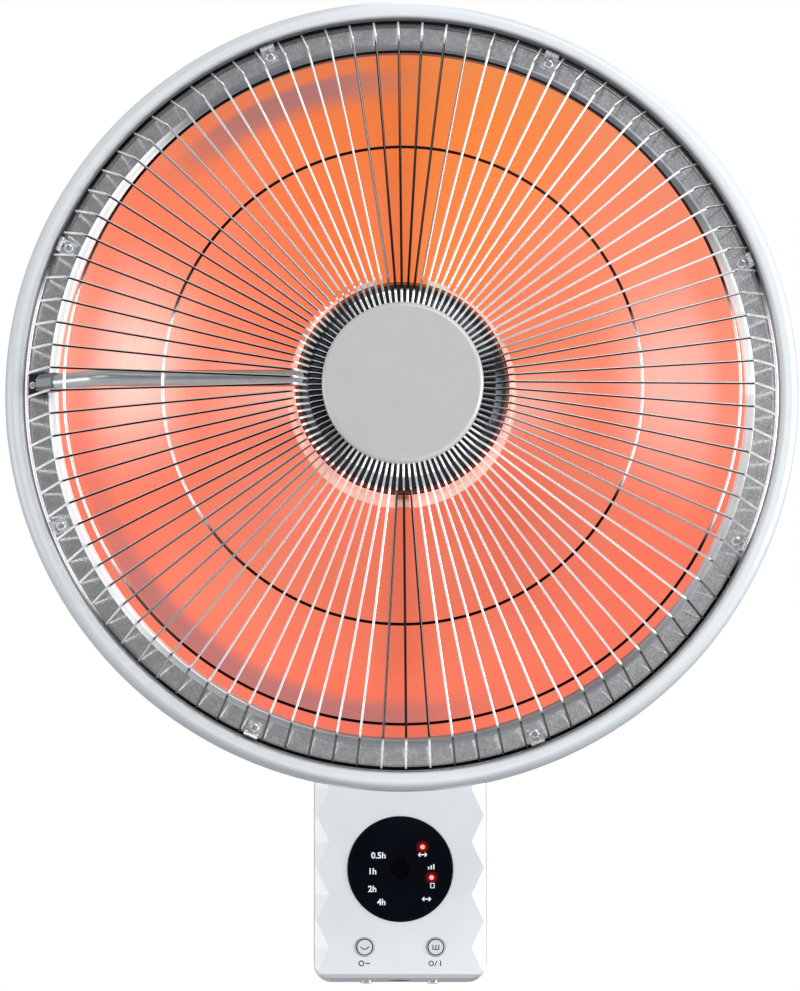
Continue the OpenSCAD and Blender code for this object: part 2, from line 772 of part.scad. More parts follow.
ear_inner = barrel_half + 1.2;
ear_t = 2.5;
ear_r = 11;
bracket_t = 2.5;
bracket_bolt_r = 2.5;
bracket_bolt_places = [[-22, -26], [22, -26], [-22, 8], [22, 8]];
cover_screw_ring = 47;

// The four bolts through bracket, shell and dish.
module at_bracket_bolts() {
    for (p = bracket_bolt_places) translate([p[0], p[1], 0]) children();
}

// The three screws of the back cover.
module at_cover_screws() {
    for (a = [90, 210, 330]) rotate([0, 0, a]) translate([cover_screw_ring, 0, 0]) children();
}

// A rod across the tilt hinge, from x0 to x1.
module across_hinge(x0, x1, r, sides = 48) {
    translate([x0, -head_rise, tilt_z]) rotate([0, 90, 0]) cylinder(r = r, h = x1 - x0, $fn = sides);
}

module tilt_bracket() {
    base_z = shell_back_z - bracket_t;
    color(zinc) head_frame() difference() {
        union() {
            translate([0, -12, 0]) pad([56, 52, bracket_t - seat_gap], base_z);
            for (x = [-ear_inner - ear_t, ear_inner]) {
                translate([x, -head_rise - ear_r, tilt_z]) cube([ear_t, 2 * ear_r, base_z - tilt_z + 0.5]);
                across_hinge(x, x + ear_t, ear_r);
            }
        }
        across_hinge(-30, 30, tilt_bolt_r + fit_gap);
        at_bracket_bolts() translate([0, 0, base_z - cut])
            cylinder(r = bracket_bolt_r + slip_gap, h = bracket_t + 2 * cut);
    }
}

module tilt_bolt() {
    color(steel) head_frame() {
        across_hinge(-22, ear_inner + ear_t + 0.5, tilt_bolt_r);
        across_hinge(ear_inner + ear_t + seat_gap, ear_inner + ear_t + 5, 7.4, 6);
    }
}

module tilt_nut() {
    color(steel) head_frame() difference() {
        across_hinge(-ear_inner - ear_t - 5.5, -ear_inner - ear_t - seat_gap, 7.4, 6);
        across_hinge(-30, 0, tilt_bolt_r + fit_gap);
    }
}

module tilt_washers() {
    color(steel) head_frame() for (s = [-1, 1]) difference() {
        across_hinge(s > 0 ? barrel_half + seat_gap : -ear_inner + seat_gap,
                     s > 0 ? ear_inner - seat_gap : -barrel_half - seat_gap, 9);
        across_hinge(-30, 30, tilt_bolt_r + fit_gap);
    }
}

function parabola(r, f, apex) = apex + r * r / (4 * f);
function steps(a, b, n) = [for (k = [0:n]) a + (b - a) * k / n];
function shell_curve(r) =
    let (r0 = shell_flat_r + 2,
         rate = (shell_edge_z - shell_step_z) / (shell_edge_r * shell_edge_r - r0 * r0))
        shell_step_z + rate * (r * r - r0 * r0);

lead_hole_x = 46;
flange_r = ring_r - 5;
flange_z = -6;
vent_slots = 24;

module back_shell() {
    curve = steps(shell_flat_r + 2, shell_edge_r, 16);
    front = concat([[0, shell_flat_z], [shell_flat_r, shell_flat_z]],
        [for (r = curve) [r, shell_curve(r)]],
        [[shell_edge_r + 1.4, flange_z - 0.05], [flange_r, flange_z - 0.05]]);
    back = concat([[flange_r, flange_z - 0.85], [shell_edge_r + 2.3, flange_z - 0.85]],
        [for (k = [16:-1:0]) [curve[k] + 0.5, shell_curve(curve[k]) - sheet_t]],
        [[shell_flat_r + 0.6, shell_back_z], [0, shell_back_z]]);
    color(white) head_frame() difference() {
        rotate_extrude($fn = 144) polygon(concat(front, back));
        at_bracket_bolts() translate([0, 0, shell_back_z - cut])
            cylinder(r = bracket_bolt_r + slip_gap, h = sheet_t + 2 * cut);
        at_cover_screws() translate([0, 0, shell_back_z - cut])
            cylinder(r = screw_r + slip_gap, h = sheet_t + 2 * cut);
        translate([-lead_hole_x, arm_up, shell_back_z - cut]) cylinder(r = 3.2, h = sheet_t + 2 * cut);
        for (k = [0:vent_slots - 1]) rotate([0, 0, 360 * (k + 0.5) / vent_slots])
            translate([76, -1.5, -95]) cube([26, 3, 35]);
    }
}

module back_cover() {
    rear = shell_back_z - cover_h;
    front = shell_back_z - seat_gap;
    color(white) head_frame() difference() {
        union() {
            rotate_extrude($fn = 96) polygon([
                [0, rear], [cover_r - 20, rear], [cover_r - 11, rear + 3], [cover_r - 4, rear + 11],
                [cover_r, rear + 22], [cover_r, front], [cover_r - wall, front],
                [cover_r - wall, rear + 22.5], [cover_r - 6.2, rear + 12.5],
                [cover_r - 12.5, rear + 5.2], [cover_r - 20.5, rear + wall], [0, rear + wall]
            ]);
            at_cover_screws() translate([0, 0, rear + 8]) cylinder(r = 4, h = front - rear - 8);
        }
        for (s = [-1, 1])
            translate([s * (ear_inner + ear_t / 2) - ear_t / 2 - 0.5, -head_rise - ear_r - 1, rear - cut])
                cube([ear_t + 1, 2 * ear_r + 2, wall + 2 * cut]);
        at_cover_screws() {
            translate([0, 0, rear - cut]) cylinder(r = 3.3, h = 9 + cut);
            translate([0, 0, rear]) cylinder(r = screw_r + slip_gap, h = cover_h);
        }
        translate([0, 12, rear - cut]) cylinder(r = 4.5, h = wall + 2 * cut);
    }
}

module back_cover_screws() {
    seat = shell_back_z - cover_h + 9;
    color(steel) head_frame() at_cover_screws() mirror([0, 0, 1])
        pan_screw(3, 2.2, screw_r, -seat, -(shell_flat_z + 2.4));
}

module bracket_bolts() {
    nut_front = shell_back_z - bracket_t - seat_gap;
    color(steel) head_frame() at_bracket_bolts() {
        pan_screw(4.2, 3.2, bracket_bolt_r, dish_flat_z + seat_gap, nut_front - 4.6);
        difference() {
            translate([0, 0, nut_front - 4]) cylinder(r = 4.6, h = 4, $fn = 6);
            translate([0, 0, nut_front - 4 - cut]) cylinder(r = bracket_bolt_r + fit_gap, h = 4 + 2 * cut);
        }
    }
}

module dish_spacers() {
    color(steel) head_frame() at_bracket_bolts()
        sleeve(5, bracket_bolt_r + slip_gap, shell_flat_z + seat_gap, dish_flat_z - sheet_t - seat_gap);
}

module thermal_cutout() {
    top = shell_back_z - seat_gap;
    color(dark) head_frame() translate([30, 34, 0]) {
        translate([0, 0, top - 3]) cylinder(r = 8, h = 3);
        translate([0, 0, top - 9]) cylinder(r = 6.5, h = 6);
    }
}

terminal_half = 14;
terminal_y = 30;

module head_terminal() {
    top = shell_back_z - seat_gap;
    color(ceramic) head_frame() translate([0, terminal_y, 0]) difference() {
        pad([2 * terminal_half, 16, 14], top - 14);
        for (k = [-1, 1], j = [-1, 1])
            translate([k * 7, j * 4, top - 15]) cylinder(r = 2.4, h = 8);
    }
}

// ---- Dish, band and ring ----

module reflector() {
    curve = steps(dish_flat_r, dish_r, 20);
    front = concat([[0, dish_flat_z]], [for (r = curve) [r, parabola(r, dish_f, dish_apex_z)]],
        [[dish_r + 0.7, -1.6], [dish_r + 1.4, -0.7], [dish_r + 2.6, -0.3], [lip_r, -0.3]]);
    back = concat([[lip_r, -1.15], [dish_r + 2.8, -1.15], [dish_r + 2, -1.5], [dish_r + 1.3, -2.6]],
        [for (k = [20:-1:1]) [curve[k] + 0.4, parabola(curve[k], dish_f, dish_apex_z) - sheet_t]],
        [[dish_flat_r + 0.2, dish_flat_z - sheet_t], [0, dish_flat_z - sheet_t]]);
    color(glow) head_frame() difference() {
        rotate_extrude($fn = 144) polygon(concat(front, back));
        at_bracket_bolts() translate([0, 0, dish_flat_z - sheet_t - cut])
            cylinder(r = bracket_bolt_r + slip_gap, h = sheet_t + 2 * cut);
    }
}

band_top = -1.2;
band_t = 0.8;
band_in = dish_r + 3;
band_edge = ring_r - ring_w - 3.3;
tab_screw_r = 1.7;
tab_screw_ring = ring_r - 18.1;
bracket_screw_ring = ring_r - 15.9;
lead_hole_ring = ring_r - 19.2;

// The places of the guard tabs round the rim.
module at_tabs() {
    for (k = [0:tab_count - 1]) rotate([0, 0, tab_phase + k * tab_pitch]) children();
}

// The arm's own frame: x runs outwards along the arm, which lies on the left of the head.
module arm_frame() {
    rotate([0, 0, 180]) translate([0, -arm_up, 0]) children();
}

module rim_band() {
    color(zinc) head_frame() difference() {
        rotate_extrude($fn = 144) polygon([
            [band_in, band_top - band_t], [band_in, band_top], [band_edge, band_top],
            [band_edge + 2.2, flange_z + band_t], [flange_r, flange_z + band_t], [flange_r, flange_z],
            [band_edge + 1.7, flange_z], [band_edge - 0.4, band_top - band_t]
        ]);
        at_tabs() translate([tab_screw_ring, 0, band_top - 2]) cylinder(r = tab_screw_r + slip_gap, h = 4);
        arm_frame() {
            translate([bracket_screw_ring, 0, band_top - 2]) cylinder(r = screw_r + slip_gap, h = 4);
            translate([lead_hole_ring, 0, band_top - 2]) cylinder(r = 3.2, h = 4);
        }
    }
}

module outer_ring() {
    mid = ring_r - ring_w / 2;
    wall_t = 1.6;
    dome = 8;
    dome_z = -3;
    arc = steps(0, 180, 16);
    color(white) head_frame() rotate_extrude($fn = 144) polygon(concat(
        [[ring_r, -10.5]],
        [for (a = arc) [mid + ring_w / 2 * cos(a), dome_z + dome * sin(a)]],
        [[ring_r - ring_w, flange_z + band_t + seat_gap],
         [ring_r - ring_w + wall_t, flange_z + band_t + seat_gap]],
        [for (k = [16:-1:0])
            [mid + (ring_w / 2 - wall_t) * cos(arc[k]), dome_z + (dome - wall_t) * sin(arc[k])]],
        [[ring_r - wall_t, flange_z - 0.9], [flange_r - 1.5, flange_z - 0.9],
         [flange_r - 1.5, flange_z - 2.3], [ring_r - 3, flange_z - 2.6], [ring_r - wall_t, -10.5]]));
}

// ---- Guard ----

wire_r = wire_d / 2;
dip_z = guard_top - guard_dip;
dip_r = badge_r + 7.7;
shoulder_r = badge_r + 15.2;
bend_r = ring_r - 25.5;
weld_gap = 0.03;
rim_point = [rim_r, rim_z];
bend_point = [bend_r, guard_edge];
leg = along(bend_point, rim_point);
wire_end = rim_point - leg * (rim_wire_d / 2 + weld_gap);
wire_path = [[badge_r - 7.3, dip_z], [dip_r, dip_z], [shoulder_r, guard_top], bend_point, wire_end];
wire_bends = [0, 4, 4, 7, 0];
inner_ring_d = 2.4;
front_slope = along([shoulder_r, guard_top], bend_point);
behind = [front_slope[1], -front_slope[0]];

// A point on the wires' straight front run at radius r, moved behind the wires by a ring's radius.
function behind_wires(r, ring_wire) =
    [shoulder_r, guard_top] + front_slope * (r - shoulder_r) / front_slope[0]
        + behind * (wire_r + ring_wire / 2 + weld_gap);

// A full ring of round wire about the head's axis at point [radius, level].
module wire_ring(point, wire) {
    translate([0, 0, point[1]]) rotate_extrude($fn = 144)
        translate([point[0], 0]) circle(r = wire / 2, $fn = 24);
}

module guard_wires() {
    color(chrome) head_frame() for (k = [0:wire_count - 1])
        rotate([0, 0, wire_phase + k * wire_pitch]) bent_rod(wire_path, wire_bends, wire_r);
}

module guard_rings() {
    color(chrome) head_frame() {
        wire_ring(rim_point, rim_wire_d);
        wire_ring(behind_wires(bend_r - 9, ring_wire_d), ring_wire_d);
        wire_ring(behind_wires(middle_ring_r, ring_wire_d), ring_wire_d);
        wire_ring([badge_r - 4.8, dip_z - wire_r - inner_ring_d / 2 - weld_gap], inner_ring_d);
    }
}

plate_top = dip_z - wire_r - inner_ring_d - 2 * weld_gap;
badge_plate_t = 1.2;
badge_front = guard_top + 3;
badge_t = 1.2;
rivet_ring = badge_r - 15.3;
rivet_r = 2;

// The three rivets of the badge.
module at_rivets() {
    for (a = [90, 210, 330]) rotate([0, 0, a]) translate([rivet_ring, 0, 0]) children();
}

module guard_badge() {
    skirt = dip_z + wire_r + seat_gap;
    color(satin) head_frame() rotate_extrude($fn = 96) polygon([
        [0, badge_front], [badge_r - 2.4, badge_front], [badge_r - 0.7, badge_front - 0.8],
        [badge_r, badge_front - 2.2], [badge_r, skirt], [badge_r - badge_t, skirt],
        [badge_r - badge_t, badge_front - 2.6], [badge_r - 2.8, badge_front - badge_t],
        [0, badge_front - badge_t]
    ]);
}

module badge_plate() {
    color(steel) head_frame() translate([0, 0, plate_top - badge_plate_t]) difference() {
        cylinder(r = badge_r - 3.1, h = badge_plate_t);
        at_rivets() translate([0, 0, -cut]) cylinder(r = rivet_r + fit_gap, h = badge_plate_t + 2 * cut);
    }
}

module badge_rivets() {
    top = badge_front - badge_t - 0.02;
    color(steel) head_frame() at_rivets() {
        translate([0, 0, plate_top - badge_plate_t - 0.5])
            cylinder(r = rivet_r, h = top - plate_top + badge_plate_t + 0.5);
        translate([0, 0, plate_top - badge_plate_t - 1.05]) cylinder(r = 3.2, h = 1);
    }
}

module guard_tabs() {
    half = 2.2 / 2;
    hook = [for (a = [235:-15.5:80]) a];
    inner = rim_wire_d / 2 + slip_gap;
    outer = inner + 0.7;
    base = band_top + seat_gap;
    profile = concat(
        [[tab_screw_ring - 4, base], [rim_r - 2, base]],
        [for (a = hook) rim_point + inner * [cos(a), sin(a)]],
        [for (k = [len(hook) - 1:-1:1]) rim_point + outer * [cos(hook[k]), sin(hook[k])]],
        [[rim_r - 2.7, base + 0.8], [tab_screw_ring - 4, base + 0.8]]);
    color(zinc) head_frame() at_tabs() difference() {
        rotate([0, 0, -half]) rotate_extrude(angle = 2 * half, $fn = 144) polygon(profile);
        translate([tab_screw_ring, 0, base - cut]) cylinder(r = tab_screw_r + slip_gap, h = 4);
    }
}

module rim_screws() {
    seat = band_top + seat_gap + 0.8 + 0.02;
    color(steel) head_frame() at_tabs() translate([tab_screw_ring, 0, 0])
        pan_screw(3, 2, tab_screw_r, seat, flange_z - 1.6);
}

// ---- Arm and lamp ----

arm_cup_z = cup_front - 9.5;
arm_r = arm_d / 2;
arm_bore_r = arm_r - 0.85;
arm_path = [[cup_r - 11, arm_cup_z], [ring_r - 53, arm_cup_z], [ring_r - 21.5, 8.4]];
arm_bends = [0, 22, 0];
ferrule_half = 5.4;
ferrule_len = 13;
bracket_base_t = 1;
bracket_base_z = band_top + seat_gap;

module arm_tube() {
    outer_leg = along(arm_path[1], arm_path[2]);
    ferrule_start = arm_path[2] - outer_leg * ferrule_len;
    color(chrome) head_frame() arm_frame() {
        bent_rod(arm_path, arm_bends, arm_r, arm_bore_r);
        translate([ferrule_start[0], 0, ferrule_start[1]])
            rotate([0, atan2(outer_leg[0], outer_leg[1]), 0]) rotate([0, 0, 22.5]) difference() {
                cylinder(r = ferrule_half / cos(22.5), h = ferrule_len + 0.4, $fn = 8);
                translate([0, 0, -cut]) cylinder(r = arm_r - 0.3, h = ferrule_len + 2 * cut);
            }
    }
}

module arm_bracket() {
    half = ferrule_half + seat_gap;
    x0 = ring_r - 24.3;
    x1 = ring_r - 13.7;
    z = bracket_base_z;
    cheek_t = 1.2;
    color(dark) head_frame() arm_frame() difference() {
        union() {
            translate([x0, -half - cheek_t, z]) cube([x1 - x0, 2 * (half + cheek_t), bracket_base_t]);
            for (y = [-half - cheek_t, half])
                translate([0, y + cheek_t, 0]) rotate([90, 0, 0]) linear_extrude(height = cheek_t)
                    polygon([[x0, z], [x0, 8], [x0 + 3.5, 11.5], [x0 + 7, 5],
                             [x1, z + bracket_base_t], [x1, z]]);
        }
        translate([bracket_screw_ring, 0, z - cut]) cylinder(r = screw_r + slip_gap, h = 4);
        translate([lead_hole_ring, 0, z - cut]) cylinder(r = 3.2, h = 4);
    }
}

module arm_screw() {
    color(steel) head_frame() arm_frame() translate([bracket_screw_ring, 0, 0])
        pan_screw(2.4, 1.4, screw_r, bracket_base_z + bracket_base_t + 0.02, flange_z - 0.5);
}

holder_r = cup_r - 17;
holder_t = 10;
holder_top = cup_front - sheet_t - seat_gap;
holder_bottom = holder_top - holder_t;
cup_screw_ring = holder_r - 10;
cup_rim_z = cup_front - 17;

// The three screws that hold cup, ceramic and clips together.
module at_cup_screws() {
    for (a = [30, 150, 270]) rotate([0, 0, a]) children();
}

module lamp_cup() {
    color(dark) head_frame() difference() {
        union() {
            rotate_extrude($fn = 96) polygon([
                [0, cup_front], [cup_r - 15, cup_front], [cup_r - 7, cup_front - 2],
                [cup_r - 2, cup_front - 6.5], [cup_r, cup_front - 13], [cup_r, cup_rim_z],
                [cup_r - sheet_t, cup_rim_z], [cup_r - sheet_t, cup_front - 13.2],
                [cup_r - 2.9, cup_front - 7.1], [cup_r - 7.6, cup_front - 2.9],
                [cup_r - 15.2, cup_front - sheet_t], [0, cup_front - sheet_t]
            ]);
            wire_ring([cup_r - 0.4, cup_rim_z], 2.4);
        }
        at_cup_screws() translate([cup_screw_ring, 0, cup_front - 3]) cylinder(r = screw_r + slip_gap, h = 5);
        arm_frame() translate([cup_r - 13, 0, arm_cup_z]) rotate([0, 90, 0])
            cylinder(r = arm_r + slip_gap, h = 20);
    }
}

module lamp_holder() {
    color(ceramic) head_frame() difference() {
        union() {
            translate([0, 0, holder_bottom]) cylinder(r = holder_r, h = holder_t);
            translate([0, 0, holder_bottom - 4]) cylinder(r = holder_r / 2, h = 5);
        }
        at_cup_screws() translate([cup_screw_ring, 0, holder_bottom - cut])
            cylinder(r = screw_r + slip_gap, h = holder_t + 2 * cut);
        translate([0, 0, holder_bottom - 5]) cylinder(r = 9, h = 9);
    }
}

module cup_screws() {
    foot = holder_bottom - seat_gap - 1;
    color(steel) head_frame() at_cup_screws() translate([cup_screw_ring, 0, 0]) {
        pan_screw(2.8, 1.3, screw_r, cup_front + 0.02, foot - 3.2);
        difference() {
            translate([0, 0, foot - 0.05 - 2.4]) cylinder(r = 3.2, h = 2.4, $fn = 6);
            translate([0, 0, foot - 4]) cylinder(r = screw_r + fit_gap, h = 6);
        }
    }
}

clip_half = 3.8;
clip_in = holder_r - 5;
clip_foot = cup_screw_ring - 5;
lamp_tube_r = lamp_tube_d / 2;

// A piece of a ring about the head's axis, from angle a0 to a1, with its profile as children.
module ring_piece(a0, a1) {
    rotate([0, 0, a0]) rotate_extrude(angle = a1 - a0, $fn = 144) children();
}

module lamp_clips() {
    foot = holder_bottom - seat_gap;
    color(steel) head_frame() at_cup_screws() difference() {
        union() {
            ring_piece(-clip_half, clip_half) translate([clip_foot, foot - 1])
                square([clip_in + 1 - clip_foot, 1]);
            ring_piece(-clip_half, clip_half) translate([clip_in, lamp_z - 0.5])
                square([1, foot - lamp_z + 0.5]);
            ring_piece(-clip_half, clip_half) translate([clip_in, lamp_z - 0.5])
                square([lamp_r - lamp_tube_r - 0.5 - clip_in, 1]);
            ring_piece(-clip_half, clip_half) translate([lamp_r, lamp_z])
                circle(r = lamp_tube_r + seat_gap + 1, $fn = 48);
        }
        ring_piece(-clip_half - 2, clip_half + 2) translate([lamp_r, lamp_z])
            circle(r = lamp_tube_r + seat_gap, $fn = 48);
        translate([cup_screw_ring, 0, foot - 3]) cylinder(r = screw_r + slip_gap, h = 5);
    }
}

lamp_from = 108;
lamp_to = 432;
cap_from = 103;
cap_len = 10;

module lamp_tube() {
    color(glow) head_frame() difference() {
        ring_piece(lamp_from, lamp_to) translate([lamp_r, lamp_z]) circle(r = lamp_tube_r);
        ring_piece(lamp_from - 2, lamp_to + 2) translate([lamp_r, lamp_z]) circle(r = lamp_tube_r - 1);
    }
}

module lamp_filament() {
    color("orange") head_frame()
        ring_piece(lamp_from - 0.2, lamp_to + 0.2) translate([lamp_r, lamp_z]) circle(r = 1.2, $fn = 24);
}

module lamp_caps() {
    color(ceramic) head_frame() for (m = [0, 1]) mirror([m, 0, 0]) difference() {
        ring_piece(cap_from, cap_from + cap_len) translate([lamp_r, lamp_z]) circle(r = lamp_tube_r + 1.5);
        ring_piece(lamp_from - 0.25, cap_from + cap_len + 2)
            translate([lamp_r, lamp_z]) circle(r = lamp_tube_r + seat_gap);
    }
}

lead_r = 1.1;
// Route of the leads behind the dish: distance from the axis and level behind the ring's plane,
// from the band's hole down to the hole in the back shell
lead_route = concat(
    [[ring_r - 19.4, 5], [ring_r - 19.2, -1], [ring_r - 20, -6], [ring_r - 26, -12], [ring_r - 40, -21.5]],
    [for (run = [[0.74, 7.4], [0.44, 5.9], [0.19, 5.2], [0.07, 5.2], [0, 4.5]])
        behind_dish(lead_hole_x + 4 + run[0] * (ring_r - lead_hole_x - 44), run[1])],
    [[lead_hole_x + 0.6, shell_back_z + 2.4], [lead_hole_x, shell_back_z - 2.5]]);

// A point behind the dish, at a distance from the axis and a depth behind the polished face.
function behind_dish(r, depth) = [r, parabola(r, dish_f, dish_apex_z) - depth];

// The end of the route inside the back cover, to the terminal block
lead_end_z = shell_back_z - 7;
lead_end = [[-40, 14, lead_end_z + 1], [-29, 26, lead_end_z], [-20, terminal_y, lead_end_z],
            [-terminal_half - seat_gap, terminal_y, lead_end_z]];
lead_apart = 1.45;

// The direction square to the run from p to q, seen along the head's axis.
function beside(p, q) =
    let (d = along([p[0], p[1]], [q[0], q[1]]))
        [-d[1], d[0], 0];

module lamp_leads() {
    bend = arm_path[1];
    inwards = along(bend, arm_path[0]);
    outwards = along(bend, arm_path[2]);
    in_arm = [[holder_r + seat_gap, arm_cup_z], arm_path[0], bend + inwards * 9,
              bend + (inwards + outwards) * 1.4, bend + outwards * 9, arm_path[2]];
    color("red") head_frame() for (s = [-1, 1]) {
        flat = [for (p = concat(in_arm, lead_route)) [-p[0], arm_up, p[1]]];
        route = concat(flat, lead_end);
        last = len(route) - 1;
        turn = len(flat) - 1;
        swept_lead([for (i = [0:last])
            route[i] + s * lead_apart
                * (i < turn ? [0, 1, 0] : beside(route[max(turn, i - 1)], route[min(last, i + 1)]))],
            lead_r);
    }
    color("red") head_frame() for (m = [0, 1]) mirror([m, 0, 0]) rotate([0, 0, cap_from + 2.5])
        bent_rod([[lamp_r - 2, lamp_z + lamp_tube_r + 1.5 + seat_gap], [lamp_r - 2, 20],
                  [holder_r - 6, 31], [holder_r - 6, holder_bottom - seat_gap]], [0, 5, 4, 0], lead_r);
}

wall_plate();
rear_housing();
front_housing();
housing_screws();
lock_screws();
display_lens();
display_board();
indicator_lights();
remote_receiver();
button_switches();
power_board();
power_board_parts();
board_screws();
buzzer();
terminal_block();
cord_gland();
swivel_bush();
swing_motor();
motor_screws();
neck_shaft();
sector_gear();
shaft_clip();
thrust_washer();
neck_arm();
swing_pinion();
motor_shaft();
timer_button();
power_button();
tilt_bracket();
tilt_bolt();
tilt_nut();
tilt_washers();
back_shell();
back_cover();
back_cover_screws();
bracket_bolts();
dish_spacers();
thermal_cutout();
head_terminal();
reflector();
rim_band();
outer_ring();
guard_wires();
guard_rings();
guard_badge();
badge_plate();
badge_rivets();
guard_tabs();
rim_screws();
arm_tube();
arm_bracket();
arm_screw();
lamp_cup();
lamp_holder();
cup_screws();
lamp_clips();
lamp_tube();
lamp_filament();
lamp_caps();
lamp_leads();
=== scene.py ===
"""Looks of a wall-mounted dish heater: fine pieces, finishes, camera and light."""

import logging
import math
from dataclasses import dataclass
from enum import Enum
from typing import Any, Iterable, Sequence

import bmesh
import bpy
from mathutils import Matrix, Vector


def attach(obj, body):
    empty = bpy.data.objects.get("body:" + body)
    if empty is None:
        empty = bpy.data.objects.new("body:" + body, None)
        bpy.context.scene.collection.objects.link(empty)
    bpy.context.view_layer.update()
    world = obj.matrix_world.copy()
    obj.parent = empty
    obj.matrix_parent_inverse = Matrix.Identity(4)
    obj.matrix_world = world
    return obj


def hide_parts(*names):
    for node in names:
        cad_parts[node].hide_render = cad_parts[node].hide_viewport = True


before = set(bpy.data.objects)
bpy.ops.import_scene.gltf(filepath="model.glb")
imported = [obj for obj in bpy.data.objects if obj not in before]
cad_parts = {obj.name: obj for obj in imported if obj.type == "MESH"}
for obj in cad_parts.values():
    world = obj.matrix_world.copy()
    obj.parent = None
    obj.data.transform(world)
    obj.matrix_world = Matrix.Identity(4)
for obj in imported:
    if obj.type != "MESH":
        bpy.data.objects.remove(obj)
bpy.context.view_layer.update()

log = logging.getLogger("heater")

MM = 0.001
Colour = tuple[float, float, float]
Point2 = tuple[float, float]


def srgb(red: int, green: int, blue: int) -> Colour:
    """Turns a colour seen on a screen, 0 to 255, into the linear colour that shaders take.

    Args:
        red: Red as seen.
        green: Green as seen.
        blue: Blue as seen.

    Returns:
        The linear colour.
    """
    def linear(value: float) -> float:
        """Undoes the screen's curve for one channel."""
        value /= 255
        return value / 12.92 if value <= 0.04045 else ((value + 0.055) / 1.055) ** 2.4

    return linear(red), linear(green), linear(blue)


def times(colour: Colour, factor: float) -> Colour:
    """Returns a colour made darker or lighter by a factor, no brighter than white."""
    return tuple(min(1.0, channel * factor) for channel in colour)


# ---- Node trees ----


class NodeWriter:
    """Adds and links nodes of one tree in few words."""

    def __init__(self, tree: bpy.types.NodeTree) -> None:
        """Keeps the tree to write in."""
        self.tree = tree

    def add(self, kind: str, values: dict[Any, Any] | None = None, **settings: Any) -> bpy.types.Node:
        """Adds one node, sets its properties, and fills its inputs.

        Args:
            kind: Blender's type name of the node.
            values: Input name or number to a value or to another node's output.
            **settings: Properties of the node itself.

        Returns:
            The new node.
        """
        node = self.tree.nodes.new(kind)
        for key, value in settings.items():
            setattr(node, key, value)
        for key, value in (values or {}).items():
            if isinstance(value, bpy.types.NodeSocket):
                self.tree.links.new(value, node.inputs[key])
            else:
                node.inputs[key].default_value = value
        return node

    def math(self, operation: str, a: Any, b: Any = 0.0) -> bpy.types.NodeSocket:
        """Adds a Math node, such as MULTIPLY, on two numbers or sockets."""
        return self.add("ShaderNodeMath", {0: a, 1: b}, operation=operation).outputs[0]

    def split(self, vector: bpy.types.NodeSocket) -> Sequence[bpy.types.NodeSocket]:
        """Returns the x, y and z sockets of a vector."""
        return self.add("ShaderNodeSeparateXYZ", {0: vector}).outputs

    def combine(self, x: Any, y: Any) -> bpy.types.NodeSocket:
        """Returns a flat vector made of two numbers or sockets."""
        return self.add("ShaderNodeCombineXYZ", {0: x, 1: y}).outputs[0]

    def span(self, value: Any, low: float, high: float, to_low: float = 0.0, to_high: float = 1.0,
             smooth: bool = False) -> bpy.types.NodeSocket:
        """Maps a value from one range to another, clamped at its ends.

        Args:
            value: The socket to map.
            low: Value that gives to_low.
            high: Value that gives to_high.
            to_low: Result at low.
            to_high: Result at high.
            smooth: Whether the change eases in and out.

        Returns:
            The mapped socket.
        """
        node = self.add("ShaderNodeMapRange", {0: value, 1: low, 2: high, 3: to_low, 4: to_high},
                        interpolation_type="SMOOTHSTEP" if smooth else "LINEAR")
        return node.outputs[0]

    def mix(self, factor: Any, a: Any, b: Any) -> bpy.types.NodeSocket:
        """Mixes two colours.

        Args:
            factor: How much of the second colour shows.
            a: First colour or socket.
            b: Second colour or socket.

        Returns:
            The mixed colour's socket.
        """
        a = (*a, 1.0) if isinstance(a, tuple) and len(a) == 3 else a
        b = (*b, 1.0) if isinstance(b, tuple) and len(b) == 3 else b
        return self.add("ShaderNodeMix", {0: factor, 6: a, 7: b}, data_type="RGBA").outputs[2]

    def ramp(self, factor: Any, stops: Sequence[tuple[float, Colour]],
             ease: str = "LINEAR") -> bpy.types.NodeSocket:
        """Adds a colour ramp.

        Args:
            factor: Position along the ramp.
            stops: Positions with their colours, in rising order.
            ease: Interpolation between the stops.

        Returns:
            The colour's socket.
        """
        node = self.add("ShaderNodeValToRGB", {0: factor})
        node.color_ramp.interpolation = ease
        elements = node.color_ramp.elements
        while len(elements) > 1:
            elements.remove(elements[-1])
        elements[0].position = stops[0][0]
        elements[0].color = (*stops[0][1], 1.0)
        for position, colour in stops[1:]:
            elements.new(position).color = (*colour, 1.0)
        return node.outputs[0]

    def noise(self, vector: Any, size: float, detail: float = 3.0, rough: float = 0.5) -> bpy.types.NodeSocket:
        """Adds cloudy noise whose features are about a given size.

        Args:
            vector: Coordinates.
            size: Size of the clouds, in the coordinates' unit.
            detail: Number of finer layers.
            rough: Strength of the finer layers.

        Returns:
            The noise value's socket.
        """
        return self.add("ShaderNodeTexNoise", {"Vector": vector, "Scale": 1 / size, "Detail": detail,
                                               "Roughness": rough}).outputs[0]


